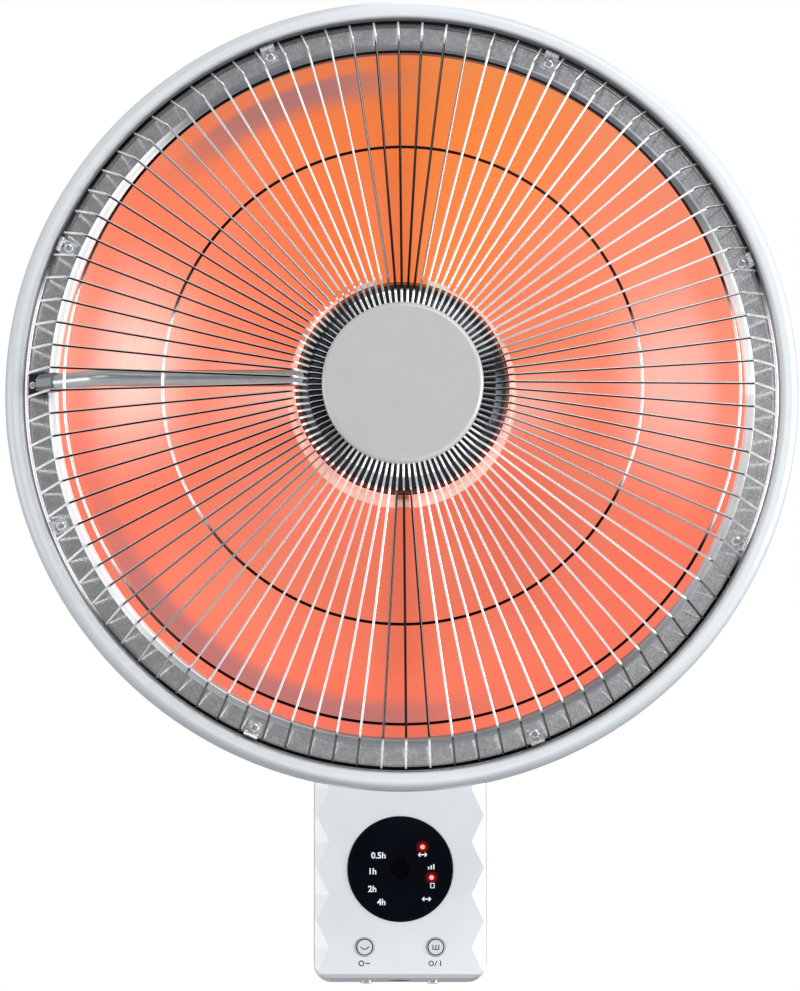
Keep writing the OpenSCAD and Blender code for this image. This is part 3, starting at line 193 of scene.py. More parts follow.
class Surface(NodeWriter):
    """A material under construction, with its coordinates and its main shader."""

    def __init__(self, name: str) -> None:
        """Starts an empty material with a Principled shader.

        Args:
            name: The material's name.
        """
        self.material = bpy.data.materials.new(name)
        self.material.use_nodes = True
        super().__init__(self.material.node_tree)
        self.tree.nodes.clear()
        self.shader = self.add("ShaderNodeBsdfPrincipled")
        self.add("ShaderNodeOutputMaterial", {"Surface": self.shader.outputs[0]})
        coordinates = self.add("ShaderNodeTexCoord").outputs
        self.place = coordinates["Object"]
        self.normal = coordinates["Normal"]

    def set(self, **values: Any) -> None:
        """Sets inputs of the main shader.

        Args:
            **values: A number, colour or socket for each input, named with underscores for blanks.
        """
        for key, value in values.items():
            socket = self.shader.inputs[key.replace("_", " ")]
            if isinstance(value, bpy.types.NodeSocket):
                self.tree.links.new(value, socket)
            elif isinstance(value, tuple) and len(value) == 3 and socket.type == "RGBA":
                socket.default_value = (*value, 1.0)
            else:
                socket.default_value = value

    def moved(self, x: float, y: float, z: float, scale: Sequence[float] = (1, 1, 1)) -> bpy.types.NodeSocket:
        """Gives coordinates counted from a point.

        Args:
            x: The point's place across, in metres.
            y: The point's place in depth.
            z: The point's height.
            scale: Stretch of the three axes.

        Returns:
            The coordinates' socket.
        """
        shift = self.add("ShaderNodeVectorMath", {0: self.place, 1: (x, y, z)}, operation="SUBTRACT")
        return self.add("ShaderNodeVectorMath", {0: shift.outputs[0], 1: tuple(scale)},
                        operation="MULTIPLY").outputs[0]

    def away(self, x: float, z: float) -> bpy.types.NodeSocket:
        """Gives the distance from a point of the front, whatever the depth.

        Args:
            x: The point's place across, in metres.
            z: The point's height.

        Returns:
            The distance's socket.
        """
        flat = self.moved(x, 0.0, z, (1.0, 0.0, 1.0))
        return self.add("ShaderNodeVectorMath", {0: flat}, operation="LENGTH").outputs[1]

    def bump(self, height: Any, depth: float) -> None:
        """Gives the surface a relief.

        Args:
            height: The relief's socket, 0 to 1.
            depth: Its depth, in metres.
        """
        node = self.add("ShaderNodeBump", {"Height": height, "Distance": depth, "Strength": 1.0})
        self.tree.links.new(node.outputs[0], self.shader.inputs["Normal"])

    def polar(self) -> tuple[bpy.types.NodeSocket, bpy.types.NodeSocket]:
        """Gives the place round the head's axis.

        Returns:
            The angle as a share of a full turn from the right, counter-clockwise, and the radius in metres.
        """
        from_axis = self.moved(0.0, -HEAD.ring_out * MM, HEAD.axis_z * MM)
        across, _, up = self.split(from_axis)
        angle = self.math("ARCTAN2", up, across)
        share = self.math("FRACT", self.math("ADD", self.math("DIVIDE", angle, math.tau), 1.0))
        radius = self.math("SQRT", self.math("ADD", self.math("MULTIPLY", across, across),
                                             self.math("MULTIPLY", up, up)))
        return share, radius


# ---- Finishes ----


@dataclass(frozen=True)
class Finish:
    """A solid finish with drifting colour, uneven gloss and a fine grain."""

    name: str
    colour: Colour
    metallic: float = 0.0
    roughness: float = 0.4
    drift: float = 0.06
    drift_size: float = 0.02
    gloss_drift: float = 0.08
    grain_size: float = 0.0006
    grain_depth: float = 0.00001
    coat: float = 0.0

    def material(self) -> bpy.types.Material:
        """Makes the finish's material on first use.

        Returns:
            The material.
        """
        name = self.name + "_finish"
        known = bpy.data.materials.get(name)
        if known:
            return known
        surface = Surface(name)
        self.paint(surface)
        return surface.material

    def paint(self, surface: Surface) -> None:
        """Writes the finish into a material.

        Args:
            surface: The material under construction.
        """
        cloud = surface.noise(surface.place, self.drift_size, 4.0, 0.6)
        tone = self.drifting(surface, surface.span(cloud, 0.3, 0.7))
        fine = surface.noise(surface.place, self.grain_size, 2.0, 0.6)
        gloss = surface.math("ADD", surface.span(cloud, 0.3, 0.7, -self.gloss_drift / 2, self.gloss_drift / 2),
                             surface.span(fine, 0.3, 0.7, self.roughness - 0.02, self.roughness + 0.02))
        surface.set(Base_Color=tone, Metallic=self.metallic, Roughness=gloss)
        if self.coat:
            surface.set(Coat_Weight=self.coat, Coat_Roughness=0.06)
        surface.bump(fine, self.grain_depth)

    def drifting(self, surface: Surface, factor: Any) -> bpy.types.NodeSocket:
        """Returns the finish's colour, from a little darker to a little lighter by a factor from 0 to 1."""
        return surface.mix(factor, times(self.colour, 1 - self.drift), times(self.colour, 1 + self.drift))


# How far a face looks sideways where it starts and where it fully counts, as a cut facet with painted
# highlight and as a side wall with painted shade.
FACET_LEAN = (0.06, 0.14)
WALL_LEAN = (0.86, 0.97)


@dataclass(frozen=True)
class Moulded(Finish):
    """White moulded plastic with painted light: cut facets get a painted highlight; side walls, the outline at
    the sides and the underside get painted shade.
    """

    facet: Colour = srgb(254, 254, 255)
    wall: Colour = srgb(222, 226, 229)
    shade: Colour = srgb(150, 155, 160)
    edge_at: float = 0.05
    facet_glow: float = 0.08
    under: tuple[float, float] = (-0.9, -0.4)

    def paint(self, surface: Surface) -> None:
        """Writes the plain finish, then paints highlight and shade by the way each face looks, with a painted
        glow on left-facing facets.

        Args:
            surface: The material under construction.
        """
        super().paint(surface)
        way = surface.split(surface.normal)
        # Left-facing facets get a painted glow.
        left_facet_glow = surface.math("MULTIPLY", surface.span(way[0], -FACET_LEAN[1], -FACET_LEAN[0], 1.0, 0.0),
                                  surface.span(way[0], -0.9, -0.8))
        plain = surface.shader.inputs["Base Color"].links[0].from_socket
        surface.set(Base_Color=self.shaded(surface, plain, way), Emission_Color=(1.0, 1.0, 1.0),
                    Emission_Strength=surface.math("MULTIPLY", left_facet_glow, self.facet_glow))

    def shaded(self, surface: Surface, tone: Any, way: Sequence[Any]) -> bpy.types.NodeSocket:
        """Mixes the painted facet highlight, and the painted shade of side walls, side outline and downward
        faces, over the face's tone.

        Args:
            surface: The material under construction.
            tone: The face's colour.
            way: The three parts of the way that a face looks.

        Returns:
            The colour's socket.
        """
        across = surface.math("ABSOLUTE", way[0])
        tone = surface.mix(surface.span(across, *FACET_LEAN), tone, self.facet)
        tone = surface.mix(surface.span(across, *WALL_LEAN), tone, self.wall)
        edge = surface.math("ABSOLUTE", surface.split(surface.place)[0])
        tone = surface.mix(surface.span(edge, self.edge_at - 0.0006, self.edge_at - 0.0003), tone, self.shade)
        return surface.mix(surface.span(way[2], *self.under, 1.0, 0.0), tone, self.shade)


@dataclass(frozen=True)
class Drawn(Finish):
    """Polished wire with fine drawing lines, and painted bright and dark reflections by its place round the
    head.
    """

    # Colour of the painted dark reflections.
    dark: Colour = srgb(20, 15, 15)
    stretches: tuple[tuple[float, float], ...] = ()
    bright_inside: float = 0.06
    hub_stretches: tuple[tuple[float, float], ...] = ((0.0, 1.0), (1.0, 1.0))
    turned_over_from: float = 1.0
    lit_edge: float = 0.0
    streak: float = 0.1
    glare: float = 0.0
    badge_edge: float = 0.0525

    def paint(self, surface: Surface) -> None:
        """Writes fine drawing marks, and painted bright and dark stretches that stand for a studio's
        reflections, with a painted glow on the bright ones.

        Args:
            surface: The material under construction.
        """
        turn, radius = surface.polar()
        lines = surface.combine(surface.math("MULTIPLY", turn, 2200.0),
                                surface.math("MULTIPLY", radius, 160.0))
        marks = surface.noise(lines, 1.0, 2.0)
        cloud = surface.noise(surface.place, 0.012, 3.0)
        tone = surface.mix(surface.span(cloud, 0.35, 0.75), times(self.colour, 0.9), self.colour)
        if self.stretches:
            # Painted reflections: dark stretches take the dark colour, bright ones get a painted glow.
            level = self.sheen(surface, turn, radius)
            tone = surface.mix(level, self.dark, tone)
            surface.set(Emission_Color=tone, Emission_Strength=surface.math("MULTIPLY", level, self.glare))
        surface.set(Base_Color=tone, Metallic=self.metallic,
                    Roughness=surface.span(marks, 0.3, 0.7, self.roughness * (1 - self.streak),
                                           self.roughness * (1 + self.streak)))
        surface.bump(marks, self.grain_depth)

    def sheen(self, surface: Surface, turn: Any, radius: Any) -> bpy.types.NodeSocket:
        """Works out the brightness of the painted reflection: by stretches round the head, a painted highlight
        on upper edges, and at the hub.

        Args:
            surface: The material under construction.
            turn: Share of a turn round the head.
            radius: Distance from the axis.

        Returns:
            The brightness socket, 0 to 1.
        """
        level = self.level(surface, turn, self.stretches)
        over = surface.span(radius, self.turned_over_from, self.turned_over_from + 0.003)
        level = surface.math("ABSOLUTE", surface.math("SUBTRACT", level, over))
        edge = surface.span(surface.split(surface.normal)[2], 0.15, 0.4, 0.0, self.lit_edge)
        hub = surface.span(radius, self.bright_inside, self.bright_inside + 0.004, 1.0, 0.0, smooth=True)
        near = surface.span(radius, self.badge_edge, self.badge_edge + 0.0015, 1.0, 0.0)
        from_left = surface.math("ABSOLUTE", surface.math("SUBTRACT", turn, 0.5))
        far = surface.math("MULTIPLY", surface.math("SUBTRACT", hub, near),
                           surface.span(from_left, 0.12, 0.18, 1.0, 0.0))
        near = surface.math("MULTIPLY", near, surface.span(from_left, 0.12, 0.18))
        hub = surface.math("MULTIPLY", surface.math("ADD", near, far),
                           self.level(surface, turn, self.hub_stretches))
        return surface.math("MAXIMUM", surface.math("MAXIMUM", level, edge), hub)

    def level(self, surface: Surface, turn: Any,
              stretches: Sequence[tuple[float, float]]) -> bpy.types.NodeSocket:
        """Reads a brightness from stops round the head.

        Args:
            surface: The material under construction.
            turn: Share of a turn round the head.
            stretches: Places and the brightness at each.

        Returns:
            The brightness socket.
        """
        return surface.ramp(turn, [(at, (value, value, value)) for at, value in stretches])


@dataclass(frozen=True)
class Spun(Finish):
    """Metal brushed or spun in circles round the head's axis."""

    line_width: float = 0.0004

    def paint(self, surface: Surface) -> None:
        """Writes circular brush lines into a material.

        Args:
            surface: The material under construction.
        """
        turn, radius = surface.polar()
        across = surface.combine(surface.math("DIVIDE", radius, self.line_width),
                                 surface.math("MULTIPLY", turn, 14.0))
        lines = surface.noise(across, 1.0, 3.0, 0.65)
        cloud = surface.noise(surface.place, self.drift_size, 3.0)
        tone = self.drifting(surface, surface.span(lines, 0.3, 0.7))
        tone = surface.mix(surface.span(cloud, 0.4, 0.8, 0.0, 0.25), tone, times(self.colour, 0.85))
        surface.set(Base_Color=tone, Metallic=self.metallic, Anisotropic=0.5,
                    Roughness=surface.span(lines, 0.3, 0.7, self.roughness - 0.06, self.roughness + 0.06))
        surface.bump(lines, self.grain_depth)


@dataclass(frozen=True)
class Galvanised(Finish):
    """Hot-dip zinc: a spangle of flat crystals with different gloss."""

    spangle: float = 0.006
    crackle: float = 0.0022
    left_shade: float = 0.0

    def paint(self, surface: Surface) -> None:
        """Writes the zinc spangle into a material, with painted shade towards the head's left, by an amount
        the finish sets.

        Args:
            surface: The material under construction.
        """
        swirl = surface.add("ShaderNodeTexNoise", {"Vector": surface.place, "Scale": 260.0, "Detail": 2.0})
        shift = surface.add("ShaderNodeVectorMath", {0: swirl.outputs[1], 3: 0.003}, operation="SCALE")
        bent = surface.add("ShaderNodeVectorMath", {0: surface.place, 1: shift.outputs[0]},
                           operation="ADD").outputs[0]
        cell = surface.add("ShaderNodeTexVoronoi", {"Vector": bent, "Scale": 1 / self.spangle})
        shade = surface.add("ShaderNodeSeparateColor", {0: cell.outputs["Color"]}).outputs[0]
        fine = surface.noise(surface.place, 0.0012, 3.0, 0.6)
        tone = self.drifting(surface, shade)
        tone = surface.mix(surface.span(fine, 0.35, 0.75, 0.0, 0.35), tone, times(self.colour, 0.7))
        seam = surface.add("ShaderNodeTexVoronoi", {"Vector": bent, "Scale": 1 / self.crackle},
                           feature="DISTANCE_TO_EDGE").outputs[0]
        tone = surface.mix(surface.span(seam, 0.0, 0.16, 0.35, 0.0), tone, times(self.colour, 0.25))
        # Painted shade: darker towards the head's left.
        from_right = surface.math("PINGPONG", surface.polar()[0], 0.5)
        tone = surface.mix(surface.span(from_right, 0.05, 0.45, 0.0, self.left_shade, smooth=True), tone,
                           times(self.colour, 0.3))
        surface.set(Base_Color=tone, Metallic=self.metallic,
                    Roughness=surface.span(shade, 0.0, 1.0, self.roughness * 0.7, self.roughness * 1.5))
        surface.bump(surface.math("ADD", surface.math("MULTIPLY", shade, 0.5), fine), self.grain_depth)


@dataclass(frozen=True)
class LitDish(Finish):
    """The polished bowl, with the ring lamp's light on it painted as a glow, with painted glares and
    reflections.
    """

    right: Colour = srgb(248, 142, 114)
    top: Colour = srgb(253, 150, 78)
    left: Colour = srgb(242, 132, 110)
    bottom: Colour = srgb(243, 126, 98)
    glow: float = 0.7
    glare_left: float = 0.48
    glare_right: float = 0.012

    def near(self, surface: Surface, turn: Any, centre: float, inner: float, outer: float,
             strength: float = 1.0) -> bpy.types.NodeSocket:
        """Gives a sector of the bowl with soft sides.

        Args:
            surface: The material under construction.
            turn: Share of a full turn, from the right.
            centre: Where the sector lies.
            inner: Distance from its centre where it starts to fade.
            outer: Distance where it has gone.
            strength: Its value at the centre.

        Returns:
            The sector's socket.
        """
        away = surface.math("ABSOLUTE", surface.math("SUBTRACT", turn, centre))
        return surface.span(away, inner, outer, strength, 0.0, smooth=True)

    def zone(self, surface: Surface, radius: Any, rise: Point2, fall: Point2, peak: float,
             rest: float) -> bpy.types.NodeSocket:
        """Gives a round zone of the bowl with soft edges.

        Args:
            surface: The material under construction.
            radius: Distance from the axis.
            rise: Radii between which the zone comes up.
            fall: Radii between which it goes down.
            peak: Its value between them.
            rest: The share of it that stays outside.

        Returns:
            The zone's socket.
        """
        return surface.math("MULTIPLY", surface.span(radius, *rise, 0.0, peak, smooth=True),
                            surface.span(radius, *fall, 1.0, rest, smooth=True))

    def tones(self, surface: Surface, turn: Any, radius: Any) -> bpy.types.NodeSocket:
        """Mixes the painted glow's colours round the bowl, with a darker wedge of painted reflection at the
        top and the bottom.

        Args:
            surface: The material under construction.
            turn: Share of a full turn, from the right.
            radius: Distance from the axis.

        Returns:
            The colour's socket.
        """
        stops = [(0.0, self.right), (0.10, srgb(250, 148, 112)), (0.2, self.top), (0.30, srgb(250, 136, 76)),
                 (0.40, srgb(248, 138, 106)), (0.5, self.left), (0.62, srgb(246, 136, 110)),
                 (0.75, self.bottom), (0.88, srgb(238, 126, 102)), (1.0, self.right)]
        glow = surface.ramp(turn, stops, "EASE")
        cloud = surface.noise(surface.place, 0.07, 2.0)
        glow = surface.mix(surface.span(cloud, 0.35, 0.7, 0.0, 0.16), glow, srgb(255, 176, 150))
        for centre, width, tone, strength in ((0.25, 0.026, srgb(206, 98, 54), 0.4),
                                              (0.75, 0.024, srgb(206, 96, 74), 0.42)):
            wedge = surface.math("MULTIPLY", self.near(surface, turn, centre, 0.0, width, strength),
                                 surface.span(radius, 0.06, 0.19, 1.0, 0.45))
            glow = surface.mix(wedge, glow, tone)
        return glow

    def reflections(self, surface: Surface, turn: Any, radius: Any, glow: Any) -> bpy.types.NodeSocket:
        """Lays the painted pale glares at both sides and the painted dull reflections in arcs near the edge
        over the glow.

        Args:
            surface: The material under construction.
            turn: Share of a full turn, from the right.
            radius: Distance from the axis.
            glow: The glow's colour.

        Returns:
            The colour's socket.
        """
        from_left = surface.math("ABSOLUTE", surface.math("SUBTRACT", turn, self.glare_left))
        from_right = surface.math("PINGPONG", surface.math("SUBTRACT", turn, self.glare_right), 0.5)
        side = surface.math("MINIMUM", from_left, from_right)
        inner = surface.math("MULTIPLY", surface.span(side, 0.0, 0.06, 0.75, 0.0, smooth=True),
                             surface.span(radius, 0.06, 0.125, 1.0, 0.0, smooth=True))
        glow = surface.mix(inner, glow, srgb(255, 214, 200))
        outer = surface.math("MULTIPLY", surface.span(side, 0.0, 0.085, 0.85, 0.0, smooth=True),
                             self.zone(surface, radius, (0.11, 0.15), (0.17, 0.186), 1.0, 0.2))
        glow = surface.mix(outer, glow, srgb(255, 200, 190))
        below_left = self.near(surface, turn, 0.67, 0.05, 0.16)
        above_left = self.near(surface, turn, 0.31, 0.02, 0.08)
        arcs = surface.math("MULTIPLY", surface.math("MAXIMUM", below_left, above_left),
                            self.zone(surface, radius, (0.168, 0.18), (0.185, 0.189), 0.85, 0.15))
        return surface.mix(arcs, glow, srgb(172, 128, 130))

    def paint(self, surface: Surface) -> None:
        """Writes the lamp's light on the polished bowl as a painted glow, and plain metal on its back, into a
        material.

        Args:
            surface: The material under construction.
        """
        turn, radius = surface.polar()
        glow = self.reflections(surface, turn, radius, self.tones(surface, turn, radius))
        front = surface.math("LESS_THAN", surface.split(surface.normal)[1], 0.0)
        rings = surface.combine(surface.math("MULTIPLY", radius, 1400.0),
                                surface.math("MULTIPLY", turn, 10.0))
        lines = surface.noise(rings, 1.0, 2.0)
        sheen = surface.mix(0.55, glow, (0.0, 0.0, 0.0))
        surface.set(Base_Color=surface.mix(front, srgb(190, 192, 194), sheen), Metallic=1.0,
                    Roughness=surface.span(lines, 0.3, 0.7, 0.26, 0.31), Emission_Color=glow,
                    Emission_Strength=surface.math("MULTIPLY", front, self.glow))
        surface.bump(lines, 0.0000003)


@dataclass(frozen=True)
class Glowing(Finish):
    """A hot or lit part that gives light of its own; on printed marks, a painted glow."""

    light: Colour = (1.0, 0.5, 0.3)
    strength: float = 3.0

    def paint(self, surface: Surface) -> None:
        """Writes an uneven glow into a material.

        Args:
            surface: The material under construction.
        """
        cloud = surface.noise(surface.place, 0.004, 2.0)
        tone = surface.mix(surface.span(cloud, 0.3, 0.7), times(self.light, 0.75), self.light)
        surface.set(Base_Color=self.colour, Roughness=self.roughness, Emission_Color=tone,
                    Emission_Strength=self.strength)
        surface.bump(cloud, 0.00002)


@dataclass(frozen=True)
class LensGlass(Finish):
    """A glossy black lens in which the lit diodes behind it make soft halos."""

    spots: tuple[Point2, ...] = ()
    halo_r: float = 0.0046
    middle: Point2 = (0.0, -0.062)
    well_r: float = 0.0052

    def paint(self, surface: Surface) -> None:
        """Writes the black gloss, the deeper black over the receiver and the halos into a material.

        Args:
            surface: The material under construction.
        """
        halo: Any = 0.0
        for x, z in self.spots:
            fade = surface.span(surface.away(x, z), 0.0, self.halo_r, 1.0, 0.0)
            halo = surface.math("ADD", halo, surface.math("POWER", fade, 2.2))
        dust = surface.noise(surface.place, 0.0015, 3.0)
        well = surface.span(surface.away(*self.middle), self.well_r, self.well_r + 0.001, 1.0, 0.0,
                            smooth=True)
        body = surface.mix(well, self.colour, (0.0, 0.0, 0.001))
        surface.set(Base_Color=surface.mix(surface.span(dust, 0.4, 0.8, 0.0, 0.08), body, srgb(40, 42, 48)),
                    Roughness=surface.span(dust, 0.3, 0.7, 0.1, 0.16), Specular_IOR_Level=0.06,
                    Emission_Color=surface.mix(halo, (0.0, 0.0, 0.0), srgb(235, 30, 28)),
                    Emission_Strength=1.0)
        surface.bump(dust, 0.000002)


@dataclass(frozen=True)
class CircuitBoard(Finish):
    """A green board with copper tracks under its mask."""

    def paint(self, surface: Surface) -> None:
        """Writes tracks and mask into a material.

        Args:
            surface: The material under construction.
        """
        grid = surface.add("ShaderNodeTexBrick", {
            "Vector": surface.moved(0, 0, 0, (1, 0, 1)), "Scale": 180.0, "Color1": (*self.colour, 1.0),
            "Color2": (0.05, 0.2, 0.1, 1.0), "Mortar": (0.14, 0.42, 0.2, 1.0), "Mortar Size": 0.03})
        fine = surface.noise(surface.place, 0.0008)
        surface.set(Base_Color=grid.outputs[0], Roughness=surface.span(fine, 0.3, 0.7, 0.3, 0.42))
        surface.bump(fine, 0.00002)


@dataclass(frozen=True)
class Quartz(Finish):
    """A clear quartz tube round a hot filament."""

    def paint(self, surface: Surface) -> None:
        """Writes glowing glass into a material.

        Args:
            surface: The material under construction.
        """
        cloud = surface.noise(surface.place, 0.01, 2.0)
        glow = surface.mix(surface.span(cloud, 0.3, 0.7), srgb(238, 140, 122), srgb(248, 172, 158))
        surface.set(Base_Color=(0.86, 0.5, 0.44), Roughness=surface.span(cloud, 0.3, 0.7, 0.04, 0.1), IOR=1.45,
                    Transmission_Weight=0.6, Emission_Color=glow, Emission_Strength=0.55)
        surface.bump(cloud, 0.00001)


# ---- Sizes that the pieces share ----


@dataclass(frozen=True)
class HeadSizes:
    """Sizes of the round head in millimetres; levels count forwards from the ring's plane."""

    ring_out: float = 193.957
    axis_z: float = 200.0
    ring_r: float = 225.0
    dish_r: float = 194.6
    dish_f: float = 108.0
    dish_apex: float = -90.661
    dish_flat_r: float = 40.0
    dish_flat: float = -86.957
    rim_r: float = 212.6
    rim_z: float = 3.0
    badge_r: float = 45.3
    guard_top: float = 64.0
    guard_edge: float = 41.5
    cup_r: float = 61.0
    cup_front: float = 48.5
    wire_phase: float = 0.6
    wire_count: int = 96

    def matrix(self) -> Matrix:
        """Returns the turn and shift from the head's own frame, in millimetres, to the room in metres."""
        return Matrix.Translation((0, -self.ring_out * MM, self.axis_z * MM)) @ self.box_matrix()

    def box_matrix(self) -> Matrix:
        """Returns the same turn for pieces drawn as across, up, out of the wall, in millimetres."""
        return Matrix(((MM, 0, 0, 0), (0, 0, -MM, 0), (0, MM, 0, 0), (0, 0, 0, 1)))


HEAD = HeadSizes()


# ---- Mesh making ----


class Piece:
    """Helpers that turn raw geometry into finished pieces of the object."""

    made: list[str] = []

    @classmethod
    def finish(cls, mesh: bpy.types.Mesh, name: str, finish: Finish, body: str, stands_for: Sequence[str] = (),
               place: Matrix | None = None, crease: float = 35.0, slot: str | None = None) -> bpy.types.Object:
        """Places, shades and names a mesh and hangs it on its body.

        Args:
            mesh: The geometry, in its own frame.
            name: Name of the piece.
            finish: The finish it gets.
            body: Moving body that carries it.
            stands_for: CAD nodes that it replaces.
            place: Its turn and shift into the room.
            crease: Angle in degrees above which an edge stays sharp.
            slot: A material slot's name; not used.

        Returns:
            The finished object.
        """
        if place is not None:
            mesh.transform(place)
        mesh.name = name
        mesh.shade_smooth()
        mesh.set_sharp_from_angle(angle=math.radians(crease))
        mesh.materials.clear()
        mesh.materials.append(finish.material())
        obj = bpy.data.objects.new(name, mesh)
        bpy.context.scene.collection.objects.link(obj)
        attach(obj, body)
        if stands_for:
            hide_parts(*stands_for)
        cls.made.append(name)
        log.info("%s: %d faces on %s", name, len(mesh.polygons), body)
        return obj

    @staticmethod
    def lathe(profile: Sequence[Point2], turns: int) -> bpy.types.Mesh:
        """Spins a closed profile of radius and level about the z axis.

        Args:
            profile: The closed outline, (radius, level).
            turns: Steps round the axis.

        Returns:
            A closed mesh with outward faces.
        """
        count = len(profile)
        verts = []
        for k in range(turns):
            a = math.tau * k / turns
            verts += [(r * math.cos(a), r * math.sin(a), z) for r, z in profile]
        faces = []
        for k in range(turns):
            near, far = k * count, ((k + 1) % turns) * count
            for i in range(count):
                j = (i + 1) % count
                faces.append((near + i, far + i, far + j, near + j))
        return Piece.closed(verts, faces)

    @staticmethod
    def closed(verts: Sequence[Sequence[float]], faces: Sequence[Sequence[int]]) -> bpy.types.Mesh:
        """Makes a mesh, merges doubles, drops empty faces and points the faces outwards.

        Args:
            verts: Corner points.
            faces: Corner numbers of each face.

        Returns:
            The cleaned mesh.
        """
        mesh = bpy.data.meshes.new("piece")
        mesh.from_pydata([tuple(v) for v in verts], [], [tuple(f) for f in faces])
        return Piece.clean(mesh)

    @staticmethod
    def clean(mesh: bpy.types.Mesh, merge: float = 1e-6) -> bpy.types.Mesh:
        """Merges doubles, drops empty faces and points the faces outwards.

        Args:
            mesh: The mesh to clean.
            merge: Distance under which corners are merged.

        Returns:
            The same mesh.
        """
        bm = bmesh.new()
        bm.from_mesh(mesh)
        bmesh.ops.remove_doubles(bm, verts=bm.verts, dist=merge)
        bmesh.ops.dissolve_degenerate(bm, edges=bm.edges, dist=merge)
        bmesh.ops.recalc_face_normals(bm, faces=bm.faces)
        bm.to_mesh(mesh)
        bm.free()
        return mesh

    @staticmethod
    def join(meshes: Iterable[bpy.types.Mesh]) -> bpy.types.Mesh:
        """Puts several meshes into one.

        Args:
            meshes: The meshes, which are used up.

        Returns:
            One mesh with all their faces.
        """
        bm = bmesh.new()
        for mesh in meshes:
            bm.from_mesh(mesh)
            bpy.data.meshes.remove(mesh)
        whole = bpy.data.meshes.new("piece")
        bm.to_mesh(whole)
        bm.free()
        return whole

    @staticmethod
    def copied(node: str) -> bpy.types.Mesh:
        """Copies a CAD node's mesh and merges its loose triangles.

        Args:
            node: Name of the CAD node.

        Returns:
            The copy, in metres, in place.
        """
        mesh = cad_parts[node].data.copy()
        mesh.materials.clear()
        for name in [a.name for a in mesh.attributes if a.name.startswith("custom_normal")]:
            mesh.attributes.remove(mesh.attributes[name])
        bm = bmesh.new()
        bm.from_mesh(mesh)
        bmesh.ops.remove_doubles(bm, verts=bm.verts, dist=2e-7)
        bm.to_mesh(mesh)
        bm.free()
        return mesh

    @staticmethod
    def evaluated(holder: bpy.types.Object) -> bpy.types.Mesh:
        """Turns an object with live modifiers, or a curve, into a plain mesh.

        Args:
            holder: The object, which is used up.

        Returns:
            The plain mesh.
        """
        if not holder.users_collection:
            bpy.context.scene.collection.objects.link(holder)
        made = bpy.data.meshes.new_from_object(holder.evaluated_get(bpy.context.evaluated_depsgraph_get()))
        bpy.data.objects.remove(holder)
        return made

    @classmethod
    def refine(cls, node: str, finish: Finish, body: str, bevel: float = 0.0,
               crease: float = 30.0) -> bpy.types.Object:
        """Replaces a CAD node with a copy that has broken edges and clean shading.

        Args:
            node: The CAD node.
            finish: The finish it gets.
            body: Moving body that carries it.
            bevel: Width of the broken edges, in millimetres, or 0 for none.
            crease: Angle above which an edge counts as one.

        Returns:
            The finished object.
        """
        mesh = cls.copied(node)
        bm = bmesh.new()
        bm.from_mesh(mesh)
        bmesh.ops.dissolve_limit(bm, angle_limit=math.radians(0.6), verts=bm.verts, edges=bm.edges)
        bm.to_mesh(mesh)
        bm.free()
        if bevel:
            holder = bpy.data.objects.new("holder", mesh)
            edge = holder.modifiers.new("edges", "BEVEL")
            edge.width = bevel * MM
            edge.segments = 2
            edge.limit_method = "ANGLE"
            edge.angle_limit = math.radians(crease)
            edge.use_clamp_overlap = True
            edge.harden_normals = False
            mesh = cls.evaluated(holder)
        return cls.finish(mesh, node + "_fine", finish, body, [node], crease=crease)


def dress(finish: Finish, *nodes: str) -> None:
    """Gives CAD nodes that keep their own mesh a finish.

    Args:
        finish: The finish.
        *nodes: Names of the nodes.
    """
    for name in nodes:
        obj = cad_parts[name]
        for number in range(len(obj.material_slots)):
            obj.material_slots[number].material = finish.material()
        log.info("%s: dressed as %s", name, finish.name)


def rounded_path(points: Sequence[Point2], bends: Sequence[float], steps: int = 6) -> list[Point2]:
    """Rounds the inner corners of a flat path.

    Args:
        points: The path's corners.
        bends: Bend radius at each corner; the first and last are not used.
        steps: Points laid along each bend.

    Returns:
        The path's points with rounded corners.
    """
    path = [points[0]]
    for i in range(1, len(points) - 1):
        here = Vector(points[i])
        back = (Vector(points[i - 1]) - here).normalized()
        on = (Vector(points[i + 1]) - here).normalized()
        half = math.acos(max(-1.0, min(1.0, back.dot(on)))) / 2
        reach = bends[i] / math.tan(half)
        centre = here + (back + on).normalized() * (bends[i] / math.sin(half))
        start, end = here + back * reach - centre, here + on * reach - centre
        for k in range(steps + 1):
            t = k / steps
            spoke = start.lerp(end, t).normalized() * bends[i]
            path.append(tuple(centre + spoke))
    path.append(points[-1])
    return path


def arc(cx: float, cy: float, rx: float, ry: float, a0: float, a1: float, steps: int) -> list[Point2]:
    """Points along a piece of an ellipse.

    Args:
        cx: Centre across.
        cy: Centre up.
        rx: Half width.
        ry: Half height.
        a0: First angle, in degrees.
        a1: Last angle, in degrees.
        steps: Number of steps.

    Returns:
        The points.
    """
    return [(cx + rx * math.cos(math.radians(a0 + (a1 - a0) * k / steps)),
             cy + ry * math.sin(math.radians(a0 + (a1 - a0) * k / steps))) for k in range(steps + 1)]


# ---- Geometry Nodes ----


class NodeRecipe(Enum):
    """The geometry trees that repeat a shape."""

    COPIES = "copies_round_axis"
    RODS = "rods_round_axis"


